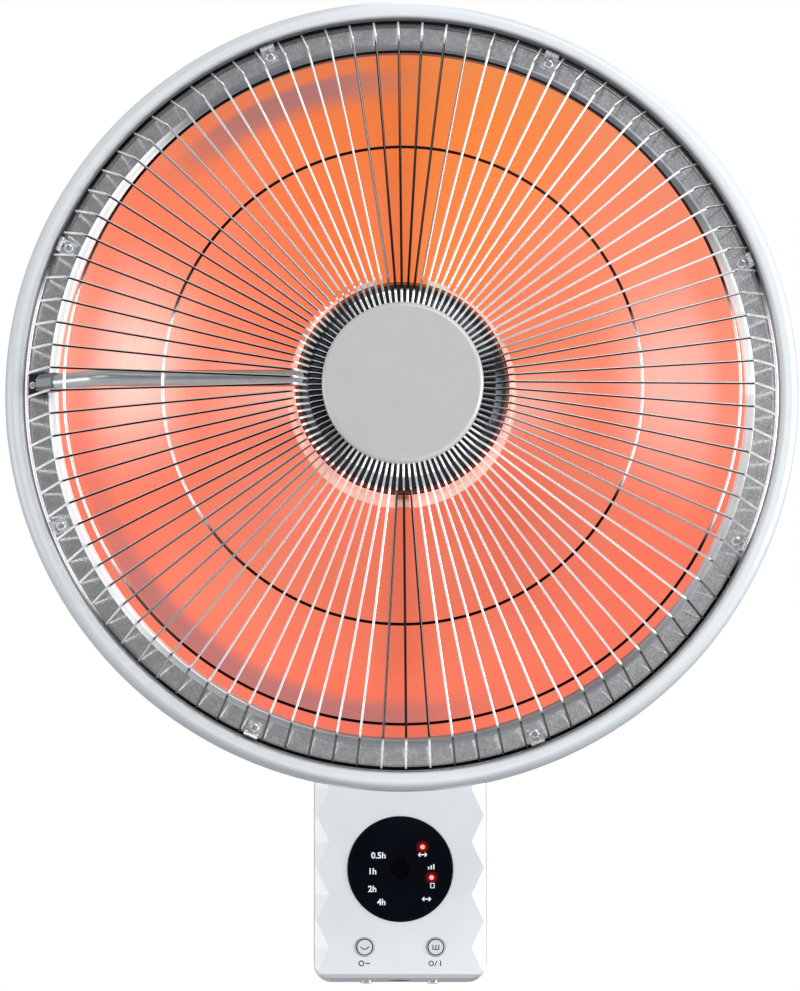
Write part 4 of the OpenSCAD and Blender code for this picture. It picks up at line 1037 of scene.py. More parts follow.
class Repeater:
    """Repeats a shape, or a rod along a path, round the z axis with Geometry Nodes."""

    trees: dict[NodeRecipe, bpy.types.NodeTree] = {}

    @classmethod
    def tree(cls, recipe: NodeRecipe) -> bpy.types.NodeTree:
        """Returns the recipe's tree, built on first use.

        Args:
            recipe: Which tree.

        Returns:
            The geometry node tree.
        """
        if recipe in cls.trees:
            return cls.trees[recipe]
        tree = bpy.data.node_groups.new(recipe.value, "GeometryNodeTree")
        face = tree.interface
        face.new_socket(name="Geometry", in_out="INPUT", socket_type="NodeSocketGeometry")
        face.new_socket(name="Count", in_out="INPUT", socket_type="NodeSocketInt")
        face.new_socket(name="First Angle", in_out="INPUT", socket_type="NodeSocketFloat")
        face.new_socket(name="Material", in_out="INPUT", socket_type="NodeSocketMaterial")
        if recipe is NodeRecipe.RODS:
            face.new_socket(name="Rod Radius", in_out="INPUT", socket_type="NodeSocketFloat")
            face.new_socket(name="Sides", in_out="INPUT", socket_type="NodeSocketInt")
        face.new_socket(name="Geometry", in_out="OUTPUT", socket_type="NodeSocketGeometry")
        write = NodeWriter(tree)
        given = write.add("NodeGroupInput").outputs
        shape = given["Geometry"]
        if recipe is NodeRecipe.RODS:
            line = write.add("GeometryNodeMeshToCurve", {"Mesh": shape}).outputs["Curve"]
            round_section = write.add("GeometryNodeCurvePrimitiveCircle", {"Resolution": given["Sides"],
                                                                         "Radius": given["Rod Radius"]})
            shape = write.add("GeometryNodeCurveToMesh", {
                "Curve": line, "Profile Curve": round_section.outputs[0], "Fill Caps": True}).outputs[0]
        points = write.add("GeometryNodeMeshLine", {"Count": given["Count"], "Offset": (0.0, 0.0, 0.0)})
        number = write.add("GeometryNodeInputIndex").outputs[0]
        step = write.math("DIVIDE", math.tau, given["Count"])
        angle = write.math("ADD", write.math("MULTIPLY", number, step), given["First Angle"])
        turn = write.add("ShaderNodeCombineXYZ", {2: angle})
        copies = write.add("GeometryNodeInstanceOnPoints", {"Points": points.outputs[0], "Instance": shape,
                                                            "Rotation": turn.outputs[0]})
        solid = write.add("GeometryNodeRealizeInstances", {0: copies.outputs[0]})
        painted = write.add("GeometryNodeSetMaterial", {"Geometry": solid.outputs[0],
                                                        "Material": given["Material"]})
        write.add("NodeGroupOutput", {0: painted.outputs[0]})
        cls.trees[recipe] = tree
        return tree

    @classmethod
    def run(cls, recipe: NodeRecipe, mesh: bpy.types.Mesh, inputs: dict[str, Any]) -> bpy.types.Mesh:
        """Runs a tree on a mesh and returns the plain result.

        Args:
            recipe: Which tree.
            mesh: The shape, or the path for rods.
            inputs: Named inputs of the tree.

        Returns:
            The resulting mesh.
        """
        tree = cls.tree(recipe)
        holder = bpy.data.objects.new("holder", mesh)
        modifier = holder.modifiers.new("repeat", "NODES")
        modifier.node_group = tree
        for item in tree.interface.items_tree:
            if item.in_out == "INPUT" and item.name in inputs:
                modifier[item.identifier] = inputs[item.name]
        return Piece.evaluated(holder)

    @classmethod
    def copies(cls, mesh: bpy.types.Mesh, count: int, first: float, finish: Finish) -> bpy.types.Mesh:
        """Copies a mesh round the z axis.

        Args:
            mesh: The shape at angle 0.
            count: Number of copies.
            first: Angle of the first copy, in degrees.
            finish: Its finish.

        Returns:
            One mesh with all the copies.
        """
        return cls.run(NodeRecipe.COPIES, mesh, {"Count": count, "First Angle": math.radians(first),
                                                 "Material": finish.material()})

    @classmethod
    def rods(cls, path: Sequence[Sequence[float]], radius: float, sides: int, count: int, first: float,
             finish: Finish) -> bpy.types.Mesh:
        """Makes round rods along a path and copies them round the z axis.

        Args:
            path: Points of the path, (x, y, z).
            radius: The rod's radius.
            sides: Sides of its section.
            count: Number of rods.
            first: Angle of the first, in degrees.
            finish: Their finish.

        Returns:
            One mesh with all the rods.
        """
        mesh = bpy.data.meshes.new("path")
        mesh.from_pydata([tuple(p) for p in path], [(i, i + 1) for i in range(len(path) - 1)], [])
        return cls.run(NodeRecipe.RODS, mesh, {
            "Count": count, "First Angle": math.radians(first), "Material": finish.material(),
            "Rod Radius": radius, "Sides": sides})


# ---- The finishes of this heater ----

# A sheen is a row of stops of painted reflection round the head: share of a turn from the right, and
# brightness there.
# Painted shade: the ring's faces that lean sideways or face down are darker than its front.
RING_WHITE = Moulded("ring_white_coat", srgb(234, 239, 241), roughness=0.3, drift=0.02, drift_size=0.05,
                     gloss_drift=0.05, grain_size=0.0014, grain_depth=0.000006, coat=0.4,
                     facet=srgb(218, 223, 225), wall=srgb(208, 213, 216), edge_at=1.0, facet_glow=0.0,
                     under=(-0.9, -0.15))
SHELL_WHITE = Finish("shell_white_coat", srgb(226, 230, 233), roughness=0.42, drift=0.03, drift_size=0.05,
                     gloss_drift=0.06, grain_size=0.0012, grain_depth=0.00002, coat=0.1)
# Painted light: the box's cut facets are brighter and left-facing ones glow; its side walls, side outline and
# underside get painted shade.
BOX_WHITE = Moulded("box_white_moulding", srgb(237, 240, 242), roughness=0.36, drift=0.02, drift_size=0.03,
                    gloss_drift=0.05, grain_size=0.0005, grain_depth=0.000006, coat=0.2)
KEY_WHITE = Finish("key_white_moulding", srgb(226, 230, 234), roughness=0.32, drift=0.02, drift_size=0.01,
                   gloss_drift=0.05, grain_size=0.0004, grain_depth=0.000005, coat=0.2)
WIRE_SHEEN = ((0.0, 0.02), (0.035, 0.05), (0.07, 0.8), (0.21, 0.9), (0.23, 0.01), (0.268, 0.01), (0.282, 0.7),
              (0.31, 0.7), (0.36, 0.35), (0.41, 0.0), (0.57, 0.0), (0.62, 0.3), (0.66, 0.9), (0.735, 0.9),
              (0.742, 0.01), (0.762, 0.01), (0.77, 0.9), (0.90, 1.0), (0.93, 0.4), (0.97, 0.05), (1.0, 0.02))
HUB_SHEEN = ((0.0, 0.1), (0.1, 0.15), (0.14, 1.0), (0.86, 1.0), (0.9, 0.3), (1.0, 0.1))
WIRE_CHROME = Drawn("wire_chrome", srgb(246, 246, 246), metallic=1.0, roughness=0.2, grain_depth=0.0000003,
                    stretches=WIRE_SHEEN, hub_stretches=HUB_SHEEN, turned_over_from=0.1975, lit_edge=0.75,
                    glare=0.3)
HOOP_SHEEN = ((0.0, 1.0), (0.03, 0.9), (0.05, 0.02), (0.40, 0.0), (0.445, 0.1), (0.46, 1.0), (0.585, 1.0),
              (0.605, 0.1), (0.64, 0.0), (0.925, 0.0), (0.94, 0.9), (1.0, 1.0))
HOOP_STEEL = Drawn("hoop_steel", srgb(246, 246, 247), metallic=1.0, roughness=0.25, grain_depth=0.0000003,
                   stretches=HOOP_SHEEN, bright_inside=0.0, glare=0.35)
LIP_SHEEN = ((0.0, 1.0), (0.05, 0.9), (0.09, 0.12), (0.2, 0.08), (0.35, 0.1), (0.38, 1.0), (0.45, 1.0),
             (0.61, 1.0), (0.64, 0.5), (0.72, 0.2), (0.86, 0.15), (0.94, 0.6), (1.0, 0.8))
ARM_CHROME = Finish("arm_chrome", srgb(186, 189, 190), metallic=1.0, roughness=0.3, drift=0.05,
                    drift_size=0.01, gloss_drift=0.06, grain_size=0.0008, grain_depth=0.000004)
FERRULE_STEEL = Finish("ferrule_steel", srgb(122, 126, 128), metallic=1.0, roughness=0.34, drift=0.08,
                       drift_size=0.006, grain_depth=0.000006)
CUP_DARK = Spun("cup_dark_polish", srgb(46, 50, 56), metallic=1.0, roughness=0.2, drift=0.1,
                grain_depth=0.000004)
BADGE_SATIN = Spun("badge_satin", srgb(200, 200, 199), metallic=0.2, roughness=0.36, drift=0.03,
                   grain_depth=0.000004)
BAND_ZINC = Galvanised("band_zinc", srgb(250, 253, 255), metallic=0.76, roughness=0.1, drift=0.16,
                       grain_depth=0.000006, spangle=0.0035, left_shade=0.52)
TAB_ZINC = Galvanised("tab_zinc", srgb(236, 242, 246), metallic=0.8, roughness=0.24, drift=0.15,
                      grain_depth=0.00002, spangle=0.003)
PLATE_ZINC = Galvanised("plate_zinc", srgb(168, 172, 176), metallic=0.9, drift=0.15, grain_depth=0.00003)
SCREW_STEEL = Finish("screw_steel", srgb(222, 225, 228), metallic=1.0, roughness=0.2, drift=0.08,
                     drift_size=0.002, gloss_drift=0.1, grain_size=0.0003, grain_depth=0.000006)
# The clips' pink tint is painted light: the lamp's glow on the steel.
CLIP_STEEL_LAMP_GLOW = Finish("clip_spring_steel", srgb(246, 196, 178), metallic=0.8, roughness=0.3, drift=0.08,
                    drift_size=0.002, gloss_drift=0.1, grain_size=0.0003, grain_depth=0.000004)
TURNED_STEEL = Finish("turned_steel", srgb(180, 182, 185), metallic=1.0, roughness=0.3, drift=0.08,
                      drift_size=0.004, gloss_drift=0.1, grain_size=0.0004)
LIP_POLISH = Drawn("lip_polish", srgb(248, 248, 249), metallic=0.7, roughness=0.34, grain_depth=0.0000001,
                   dark=srgb(112, 116, 122), stretches=LIP_SHEEN, bright_inside=0.0, streak=0.03, glare=0.4)
BRACKET_DARK = Finish("bracket_black_oxide", srgb(52, 54, 56), metallic=0.6, drift=0.15, drift_size=0.003,
                      gloss_drift=0.1, grain_size=0.0004)
CERAMIC = Finish("ceramic", srgb(232, 228, 214), roughness=0.6, drift_size=0.006, grain_depth=0.00005)
RUBBER = Finish("black_rubber", srgb(34, 34, 35), roughness=0.7, drift=0.2, drift_size=0.004,
                gloss_drift=0.1, grain_size=0.0005, grain_depth=0.00004)
DARK_PLASTIC = Finish("dark_plastic", srgb(62, 64, 68), roughness=0.5, drift=0.1, drift_size=0.004,
                      grain_size=0.0004, grain_depth=0.00002)
BLACK_PLASTIC = Finish("black_plastic", srgb(24, 24, 26), roughness=0.45, drift=0.2, drift_size=0.004,
                       grain_size=0.0004, grain_depth=0.00002)
GEAR_IVORY = Finish("gear_ivory", srgb(226, 216, 190), roughness=0.42, drift=0.05, drift_size=0.003,
                    gloss_drift=0.05, grain_size=0.0004)
BROWN_PLASTIC = Finish("brown_plastic", srgb(96, 62, 42), roughness=0.5, drift=0.1, drift_size=0.003,
                       grain_size=0.0004, grain_depth=0.00002)
LEAD_RED = Finish("red_silicone", srgb(170, 40, 34), roughness=0.55, drift=0.1, drift_size=0.003,
                  grain_size=0.0003, grain_depth=0.00002)
BOARD_GREEN = CircuitBoard("circuit_board", (0.03, 0.16, 0.08))
FILAMENT = Glowing("filament_glow", srgb(120, 60, 30), light=srgb(255, 140, 116), strength=0.7)
LIGHT_RED = Glowing("light_red", srgb(200, 30, 25), roughness=0.2, light=srgb(255, 60, 50), strength=2.0)
QUARTZ = Quartz("quartz_tube", (1.0, 0.85, 0.78))
DISH = LitDish("dish_lit_polish", (1.0, 0.7, 0.6))


# ---- Assemblies ----

# Radius of the pinhole that a lathed disc keeps on its axis, in millimetres.
PINHOLE = 0.01


@dataclass
class RingAndBand:
    """The white outer ring, the galvanised band inside it and the shell behind them."""

    edge_out: float = 224.92
    width: float = 10.5
    dome: float = 8.0
    dome_z: float = -3.0
    outer_curve: Point2 = (1.0, 0.8)
    inner_curve: Point2 = (0.5, 0.4)
    sheet: float = 1.6
    flange_z: float = -6.0
    flange_r: float = 218.5
    skirt_z: float = -10.5
    band_in: float = 197.6
    band_flat: float = 210.4
    band_out: float = 220.0
    band_z: float = -2.0
    band_sheet: float = 0.8
    turns: int = 288

    def crown(self) -> list[Point2]:
        """Draws the ring's front from its outer to its inner edge, rounded outside and nearly flat inside.

        Returns:
            The front's points.
        """
        half = self.width / 2
        points = []
        for x, z in arc(0, 0, 1, 1, 0, 180, 60):
            wide, high = self.outer_curve if x > 0 else self.inner_curve
            points.append((self.edge_out - half + math.copysign(abs(x) ** wide, x) * half,
                           self.dome_z + max(0.0, z) ** high * self.dome))
        return points

    def ring_profile(self) -> list[Point2]:
        """Draws the white ring's closed outline.

        Returns:
            The outline's points.
        """
        out, skirt, sheet = self.edge_out, self.skirt_z, self.sheet
        inner, foot, under = out - self.width, self.flange_z + 0.85, self.flange_z - 0.9
        hollow = arc(out - self.width / 2, self.dome_z, self.width / 2 - sheet, self.dome - sheet, 180, 0, 24)
        return ([(out - 0.25, skirt), (out, skirt + 0.3)] + self.crown()
                + [(inner, foot), (inner + sheet, foot)] + hollow
                + [(out - sheet, under), (self.flange_r, under), (self.flange_r, under - 1.4),
                   (self.flange_r + 3.5, under - 1.7), (self.flange_r + 4.9, skirt + 0.2)])

    def band_profile(self) -> list[Point2]:
        """Draws the band's closed outline, flat inside and stepped down to its flange under the ring.

        Returns:
            The outline's points.
        """
        flat, back, low = self.band_flat, self.band_z, self.flange_z
        front, top = back + self.band_sheet, low + self.band_sheet
        return [(self.band_in, back), (self.band_in, front), (flat + 0.2, front), (flat + 0.7, front - 0.12),
                (flat + 1.1, front - 0.55), (flat + 2.5, top + 0.6), (flat + 2.9, top + 0.15),
                (flat + 3.5, top), (self.band_out, top), (self.band_out, low), (flat + 2.6, low),
                (flat + 2.0, low + 0.3), (flat + 0.4, back - 0.1), (flat, back)]

    def build(self) -> None:
        """Makes and dresses the ring, the band and the shell."""
        Piece.finish(Piece.lathe(self.ring_profile(), self.turns), "white_ring", RING_WHITE, "head",
                     ["outer_ring"], HEAD.matrix(), 50.0, "ring_white")
        Piece.finish(Piece.lathe(self.band_profile(), self.turns), "zinc_band", BAND_ZINC, "head",
                     ["rim_band"], HEAD.matrix(), 40.0, "band_zinc")
        for node in ("back_shell", "back_cover"):
            Piece.refine(node, SHELL_WHITE, "head")


@dataclass
class Bowl:
    """The polished dish with its rolled lip."""

    rings: int = 56
    turns: int = 240
    sheet: float = 1.0
    curl_r: float = 2.0
    curl_out: float = 2.6
    curl_z: float = -2.3

    def dish_profile(self) -> list[Point2]:
        """Draws the dish's closed outline, a parabola with a flat middle.

        Returns:
            The outline's points.
        """
        h = HEAD
        radii = [h.dish_flat_r + (h.dish_r - h.dish_flat_r) * k / self.rings for k in range(self.rings + 1)]
        curve = [(r, h.dish_apex + r * r / (4 * h.dish_f)) for r in radii]
        back = [(r + 0.4, z - self.sheet) for r, z in reversed(curve)]
        return [(PINHOLE, h.dish_flat), *curve, *back, (PINHOLE, h.dish_flat - self.sheet)]

    def lip_profile(self) -> list[Point2]:
        """Draws the lip's closed outline, curled from the dish's edge to a flat rest on the band.

        Returns:
            The outline's points.
        """
        r, rest = HEAD.dish_r, self.curl_z + self.curl_r
        return ([(r + 0.05, rest - 2.65), (r + 0.5, rest - 1.8)]
                + arc(r + self.curl_out, self.curl_z, self.curl_r, self.curl_r, 175, 95, 8)
                + [(r + 3.4, rest), (r + 5.4, rest), (r + 5.6, rest - 0.15), (r + 5.6, rest - 0.8),
                   (r + 2.9, rest - 0.85), (r + 2.0, rest - 1.2), (r + 1.3, rest - 2.3)])

    def build(self) -> None:
        """Makes and dresses the dish and its lip."""
        for outline, name, finish, stands_for in ((self.dish_profile(), "dish", DISH, ["reflector"]),
                                                  (self.lip_profile(), "dish_lip", LIP_POLISH, [])):
            Piece.finish(Piece.lathe(outline, self.turns), name, finish, "head", stands_for, HEAD.matrix(),
                         50.0, "dish_polished")


@dataclass
class Guard:
    """The radial wire guard with its rings, badge, tabs and screws."""

    wire_r: float = 0.72
    sides: int = 10
    bends: tuple[float, ...] = (0, 4, 4, 7, 0)
    dip: float = 8.0
    bend_in: float = 25.5
    shoulder_out: float = 15.2
    dip_out: float = 7.7
    wire_start: float = 7.3
    weld: float = 1.35
    hoop_behind: float = 1.83
    hoop_sides: int = 14
    turns: int = 240
    badge_edge: float = 2.6
    badge_t: float = 1.2
    tab_ring: float = 206.9
    tab_count: int = 8
    tab_first: float = 21.225

    def bend(self) -> Vector:
        """Returns the wires' outer bend."""
        return Vector((HEAD.ring_r - self.bend_in, HEAD.guard_edge))

    def shoulder(self) -> Vector:
        """Returns the bend where the wires have risen from the badge to the front."""
        return Vector((HEAD.badge_r + self.shoulder_out, HEAD.guard_top))

    def wire_path(self) -> list[tuple[float, float, float]]:
        """Lays one wire's path at angle 0, from under the badge to the rim hoop.

        Returns:
            The path's points.
        """
        rim = Vector((HEAD.rim_r, HEAD.rim_z))
        end = rim - (rim - self.bend()).normalized() * self.weld
        low = HEAD.guard_top - self.dip
        corners = [(HEAD.badge_r - self.wire_start, low), (HEAD.badge_r + self.dip_out, low),
                   self.shoulder(), self.bend(), end]
        return [(r, 0.0, z) for r, z in rounded_path([tuple(c) for c in corners], self.bends)]

    def behind(self, radius: float) -> Point2:
        """Places a hoop that is welded behind the wires' straight front run.

        Args:
            radius: Where it crosses the wires.

        Returns:
            The centre of the hoop's section.
        """
        slope = (self.bend() - self.shoulder()).normalized()
        crossing = self.shoulder() + slope * ((radius - self.shoulder()[0]) / slope[0])
        return tuple(crossing + Vector((slope[1], -slope[0])) * self.hoop_behind)

    def hoops(self) -> bpy.types.Mesh:
        """Bends the four round hoops.

        Returns:
            One mesh with all four.
        """
        sections = (((HEAD.rim_r, HEAD.rim_z), 1.0), (self.behind(190.5), 0.85), (self.behind(135.0), 0.85),
                    ((40.5, 53.97), 1.2))
        whole_turn = 360 - 360 / self.hoop_sides
        return Piece.join([Piece.lathe(arc(r, z, wire, wire, 0, whole_turn, self.hoop_sides - 1), self.turns)
                           for (r, z), wire in sections])

    def badge_profile(self) -> list[Point2]:
        """Draws the badge's closed outline with a rolled edge.

        Returns:
            The outline's points.
        """
        r, top, edge, t = HEAD.badge_r, HEAD.guard_top + 2.98, self.badge_edge, self.badge_t
        skirt = HEAD.guard_top - self.dip + self.wire_r + 0.05
        return ([(PINHOLE, top), (r - 3.2, top)] + arc(r - edge, top - edge, edge, edge, 84, 0, 10)
                + [(r, skirt), (r - t, skirt), (r - t, top - edge), (r - 2.8, top - t), (PINHOLE, top - t)])

    def screws(self) -> bpy.types.Mesh:
        """Sets one cross-headed screw in each tab.

        Returns:
            One mesh with all the screws.
        """
        mesh = CrossScrew(head_r=3.0, head_h=2.0, shank_r=1.7, seat=-0.33, end=-7.6).mesh()
        mesh.transform(Matrix.Translation((self.tab_ring, 0, 0)))
        return Repeater.copies(mesh, self.tab_count, self.tab_first, SCREW_STEEL)

    def build(self) -> None:
        """Makes and dresses the guard."""
        place = HEAD.matrix()
        wires = Repeater.rods(self.wire_path(), self.wire_r, self.sides, HEAD.wire_count, HEAD.wire_phase,
                              WIRE_CHROME)
        Piece.finish(Piece.clean(wires, 1e-4), "radial_wires", WIRE_CHROME, "head", ["guard_wires"], place,
                     50.0, "wire_chrome")
        Piece.finish(self.hoops(), "guard_hoops", HOOP_STEEL, "head", ["guard_rings"], place, 50.0,
                     "wire_chrome")
        Piece.finish(Piece.lathe(self.badge_profile(), 160), "centre_badge", BADGE_SATIN, "head",
                     ["guard_badge"], place, 40.0, "badge_satin")
        Piece.refine("guard_tabs", TAB_ZINC, "head")
        Piece.finish(self.screws(), "rim_cross_screws", SCREW_STEEL, "head", ["rim_screws"], place, 30.0,
                     "screw_steel")
        dress(SCREW_STEEL, "badge_rivets")
        dress(TURNED_STEEL, "badge_plate")


@dataclass
class CrossScrew:
    """A pan-head screw along z with a cross recess, in millimetres."""

    head_r: float
    head_h: float
    shank_r: float
    seat: float
    end: float
    slot_half: float = 0.35
    slot_turn: float = 0.3
    point: float = 0.6

    def slot(self, angle: float) -> bpy.types.Object:
        """Makes the block that cuts one slot of the cross.

        Args:
            angle: The slot's turn about the screw, in radians.

        Returns:
            The block, as an object of the scene.
        """
        bm = bmesh.new()
        bmesh.ops.create_cube(bm, size=1.0)
        bmesh.ops.scale(bm, vec=(self.head_r * 1.05, self.slot_half * 2, self.head_h * 0.9), verts=bm.verts)
        bmesh.ops.translate(bm, vec=(0, 0, self.seat + self.head_h * 1.05), verts=bm.verts)
        bmesh.ops.rotate(bm, cent=(0, 0, 0), matrix=Matrix.Rotation(angle, 3, "Z"), verts=bm.verts)
        mesh = bpy.data.meshes.new("slot")
        bm.to_mesh(mesh)
        bm.free()
        block = bpy.data.objects.new("slot", mesh)
        bpy.context.scene.collection.objects.link(block)
        return block

    def mesh(self) -> bpy.types.Mesh:
        """Turns the screw and cuts the recess into its head.

        Returns:
            The screw as one closed mesh.
        """
        r, h, dome = self.head_r, self.head_h, self.head_h * 0.8
        outline = ([(PINHOLE, self.seat + h)] + arc(r - dome, self.seat + h - dome, dome, dome, 86, 0, 6)
                   + [(r, self.seat), (self.shank_r, self.seat), (self.shank_r, self.end + self.point),
                      (self.shank_r - 0.5, self.end), (PINHOLE, self.end)])
        holder = bpy.data.objects.new("screw", Piece.lathe(outline, 32))
        slots = [self.slot(self.slot_turn + quarter * math.pi / 2) for quarter in (0, 1)]
        for block in slots:
            modifier = holder.modifiers.new("cut", "BOOLEAN")
            modifier.object = block
            modifier.operation = "DIFFERENCE"
            modifier.solver = "EXACT"
        made = Piece.evaluated(holder)
        for block in slots:
            bpy.data.objects.remove(block)
        made.materials.clear()
        return made


@dataclass
class LampUnit:
    """The cup, its ceramic, the ring lamp, the clips and the chrome arm that carries them."""

    arm_up: float = 5.0
    arm_z: float = 39.0
    arm_r: float = 4.75
    bend_at: float = 172.0
    bend_r: float = 22.0
    arm_end: Point2 = (203.5, 8.4)
    screw_r: float = 209.1
    ferrule_half: float = 5.4
    ferrule_low: float = 13.0
    ferrule_sides: int = 8
    ferrule_steps: tuple[Point2, ...] = ((0.0, 0.93), (0.5, 1.0), (12.9, 1.0), (13.3, 0.93))
    cup_trim: float = 1.4
    rim_r: float = 1.2

    def cup_profile(self) -> list[Point2]:
        """Draws the dark cup's closed outline, with a rolled rim.

        Returns:
            The outline's points.
        """
        r, z = HEAD.cup_r - self.cup_trim, HEAD.cup_front
        outer = rounded_path([(PINHOLE, z), (r - 15, z), (r - 7, z - 2), (r - 2, z - 6.5), (r, z - 13),
                              (r, z - 15.5)], [0, 12, 8, 8, 12, 0])
        rim = arc(r - 0.4, z - 17, self.rim_r, self.rim_r, 75, -150, 12)
        inner = [(r - 1, z - 13.2), (r - 2.9, z - 7.1), (r - 7.6, z - 2.9), (r - 15.2, z - 1),
                 (PINHOLE, z - 1)]
        return outer + rim + inner

    def tube(self) -> bpy.types.Mesh:
        """Bends the arm's tube, in the plane of the head's x and z.

        Returns:
            The tube's mesh.
        """
        path = rounded_path([(HEAD.cup_r - 11, self.arm_z), (self.bend_at, self.arm_z), self.arm_end],
                            [0, self.bend_r, 0], 14)
        return Repeater.rods([(r, 0.0, z) for r, z in path], self.arm_r, 32, 1, 0.0, ARM_CHROME)

    def ferrule(self) -> bpy.types.Mesh:
        """Makes the eight-sided ferrule round the arm's lower end.

        Returns:
            The ferrule's mesh.
        """
        leg = (Vector(self.arm_end) - Vector((self.bend_at, self.arm_z))).normalized()
        low = Vector(self.arm_end) - leg * self.ferrule_low
        side = Vector((-leg[1], leg[0]))
        count, half_turn = self.ferrule_sides, math.pi / self.ferrule_sides
        verts, faces = [], []
        for along, grow in self.ferrule_steps:
            centre = low + leg * along
            radius = self.ferrule_half / math.cos(half_turn) * grow
            for i in range(count):
                angle = half_turn * (1 + 2 * i)
                across = side * radius * math.cos(angle)
                verts.append((centre[0] + across[0], radius * math.sin(angle), centre[1] + across[1]))
        last = len(self.ferrule_steps) - 1
        for first in range(0, last * count, count):
            for i in range(count):
                j = (i + 1) % count
                faces.append((first + i, first + j, first + count + j, first + count + i))
        faces += [tuple(range(count)), tuple(last * count + i for i in reversed(range(count)))]
        return Piece.closed(verts, faces)

    def build(self) -> None:
        """Makes and dresses the lamp unit."""
        place = HEAD.matrix()
        on_arm = place @ Matrix.Rotation(math.pi, 4, "Z") @ Matrix.Translation((0, -self.arm_up, 0))
        Piece.finish(Piece.lathe(self.cup_profile(), 192), "lamp_cup_polished", CUP_DARK, "head", ["lamp_cup"],
                     place, 50.0, "cup_dark")
        Piece.finish(self.tube(), "chrome_arm", ARM_CHROME, "head", ["arm_tube"], on_arm, 30.0, "arm_chrome")
        Piece.finish(self.ferrule(), "arm_ferrule", FERRULE_STEEL, "head", (), on_arm, 30.0, "arm_chrome")
        Piece.refine("arm_bracket", BRACKET_DARK, "head", 0.2, 32.0)
        screw = CrossScrew(head_r=2.4, head_h=1.4, shank_r=1.5, seat=-0.13, end=-6.5, slot_half=0.3).mesh()
        screw.transform(Matrix.Translation((self.screw_r, 0, 0)))
        Piece.finish(screw, "arm_cross_screw", SCREW_STEEL, "head", ["arm_screw"], on_arm, 30.0,
                     "screw_steel")
        for node, finish, bevel in (("lamp_holder", CERAMIC, 0.4), ("lamp_clips", CLIP_STEEL_LAMP_GLOW, 0.0),
                                    ("lamp_tube", QUARTZ, 0.0), ("lamp_caps", CERAMIC, 0.0)):
            Piece.refine(node, finish, "head", bevel, 32.0)
        Piece.refine("lamp_leads", LEAD_RED, "head", crease=60.0)
        dress(FILAMENT, "lamp_filament")
        dress(SCREW_STEEL, "cup_screws")


@dataclass
class Marks:
    """Flat generic marks: numerals and simple signs, drawn as thin raised meshes."""

    thick: float = 0.05
    weight: float = 0.13

    def text(self, words: str, size: float, x: float, z: float) -> bpy.types.Mesh:
        """Writes numerals centred at a place.

        Args:
            words: The numerals.
            size: Height of the type, in millimetres.
            x: Centre across.
            z: Centre up.

        Returns:
            The marks' mesh, drawn as across, up, out.
        """
        curve = bpy.data.curves.new("numerals", "FONT")
        curve.body = words
        curve.size = size
        curve.align_x, curve.align_y = "CENTER", "CENTER"
        curve.extrude = self.thick / 2
        curve.resolution_u = 3
        curve.offset = self.weight
        mesh = Piece.evaluated(bpy.data.objects.new("numerals", curve))
        mesh.transform(Matrix.Translation((x, z, 0)))
        return mesh

    def stroke(self, points: Sequence[Point2], width: float, x: float = 0.0,
               z: float = 0.0) -> bpy.types.Mesh:
        """Draws a line of even width along points.

        Args:
            points: The line's points from its own centre.
            width: Line width, in millimetres.
            x: Centre across.
            z: Centre up.

        Returns:
            The line's mesh.
        """
        verts, faces = [], []
        last = len(points) - 1
        looped = points[0] == points[-1]
        for i, point in enumerate(points):
            before, after = Vector(points[max(0, i - 1)]), Vector(points[min(last, i + 1)])
            if looped and i in (0, last):
                before, after = Vector(points[-2]), Vector(points[1])
            along = (after - before).normalized()
            side = Vector((-along[1], along[0])) * width / 2
            for s in (1, -1):
                for level in (-self.thick / 2, self.thick / 2):
                    verts.append((x + point[0] + s * side[0], z + point[1] + s * side[1], level))
        for a in range(0, last * 4, 4):
            for p, q in ((0, 1), (1, 3), (3, 2), (2, 0)):
                faces.append((a + p, a + q, a + 4 + q, a + 4 + p))
        if not looped:
            faces += [(0, 1, 3, 2), (last * 4, last * 4 + 1, last * 4 + 3, last * 4 + 2)]
        return Piece.closed(verts, faces)

    def circle(self, radius: float, a0: float = 0.0, a1: float = 360.0) -> list[Point2]:
        """Lays points along a circle or a piece of one.

        Args:
            radius: The circle's radius.
            a0: First angle, in degrees.
            a1: Last angle, in degrees.

        Returns:
            The points; a whole circle ends exactly where it starts.
        """
        points = arc(0, 0, radius, radius, a0, a1, 40)
        if a1 - a0 == 360:
            points[-1] = points[0]
        return points

    def double_arrow(self, x: float, z: float) -> list[bpy.types.Mesh]:
        """Returns the three strokes of an arrow that points both ways."""
        heads = [[(s * 1.3, 1.1), (s * 2.4, 0), (s * 1.3, -1.1)] for s in (-1, 1)]
        return [self.stroke(line, 0.7, x, z) for line in ([(-2.3, 0), (2.3, 0)], *heads)]


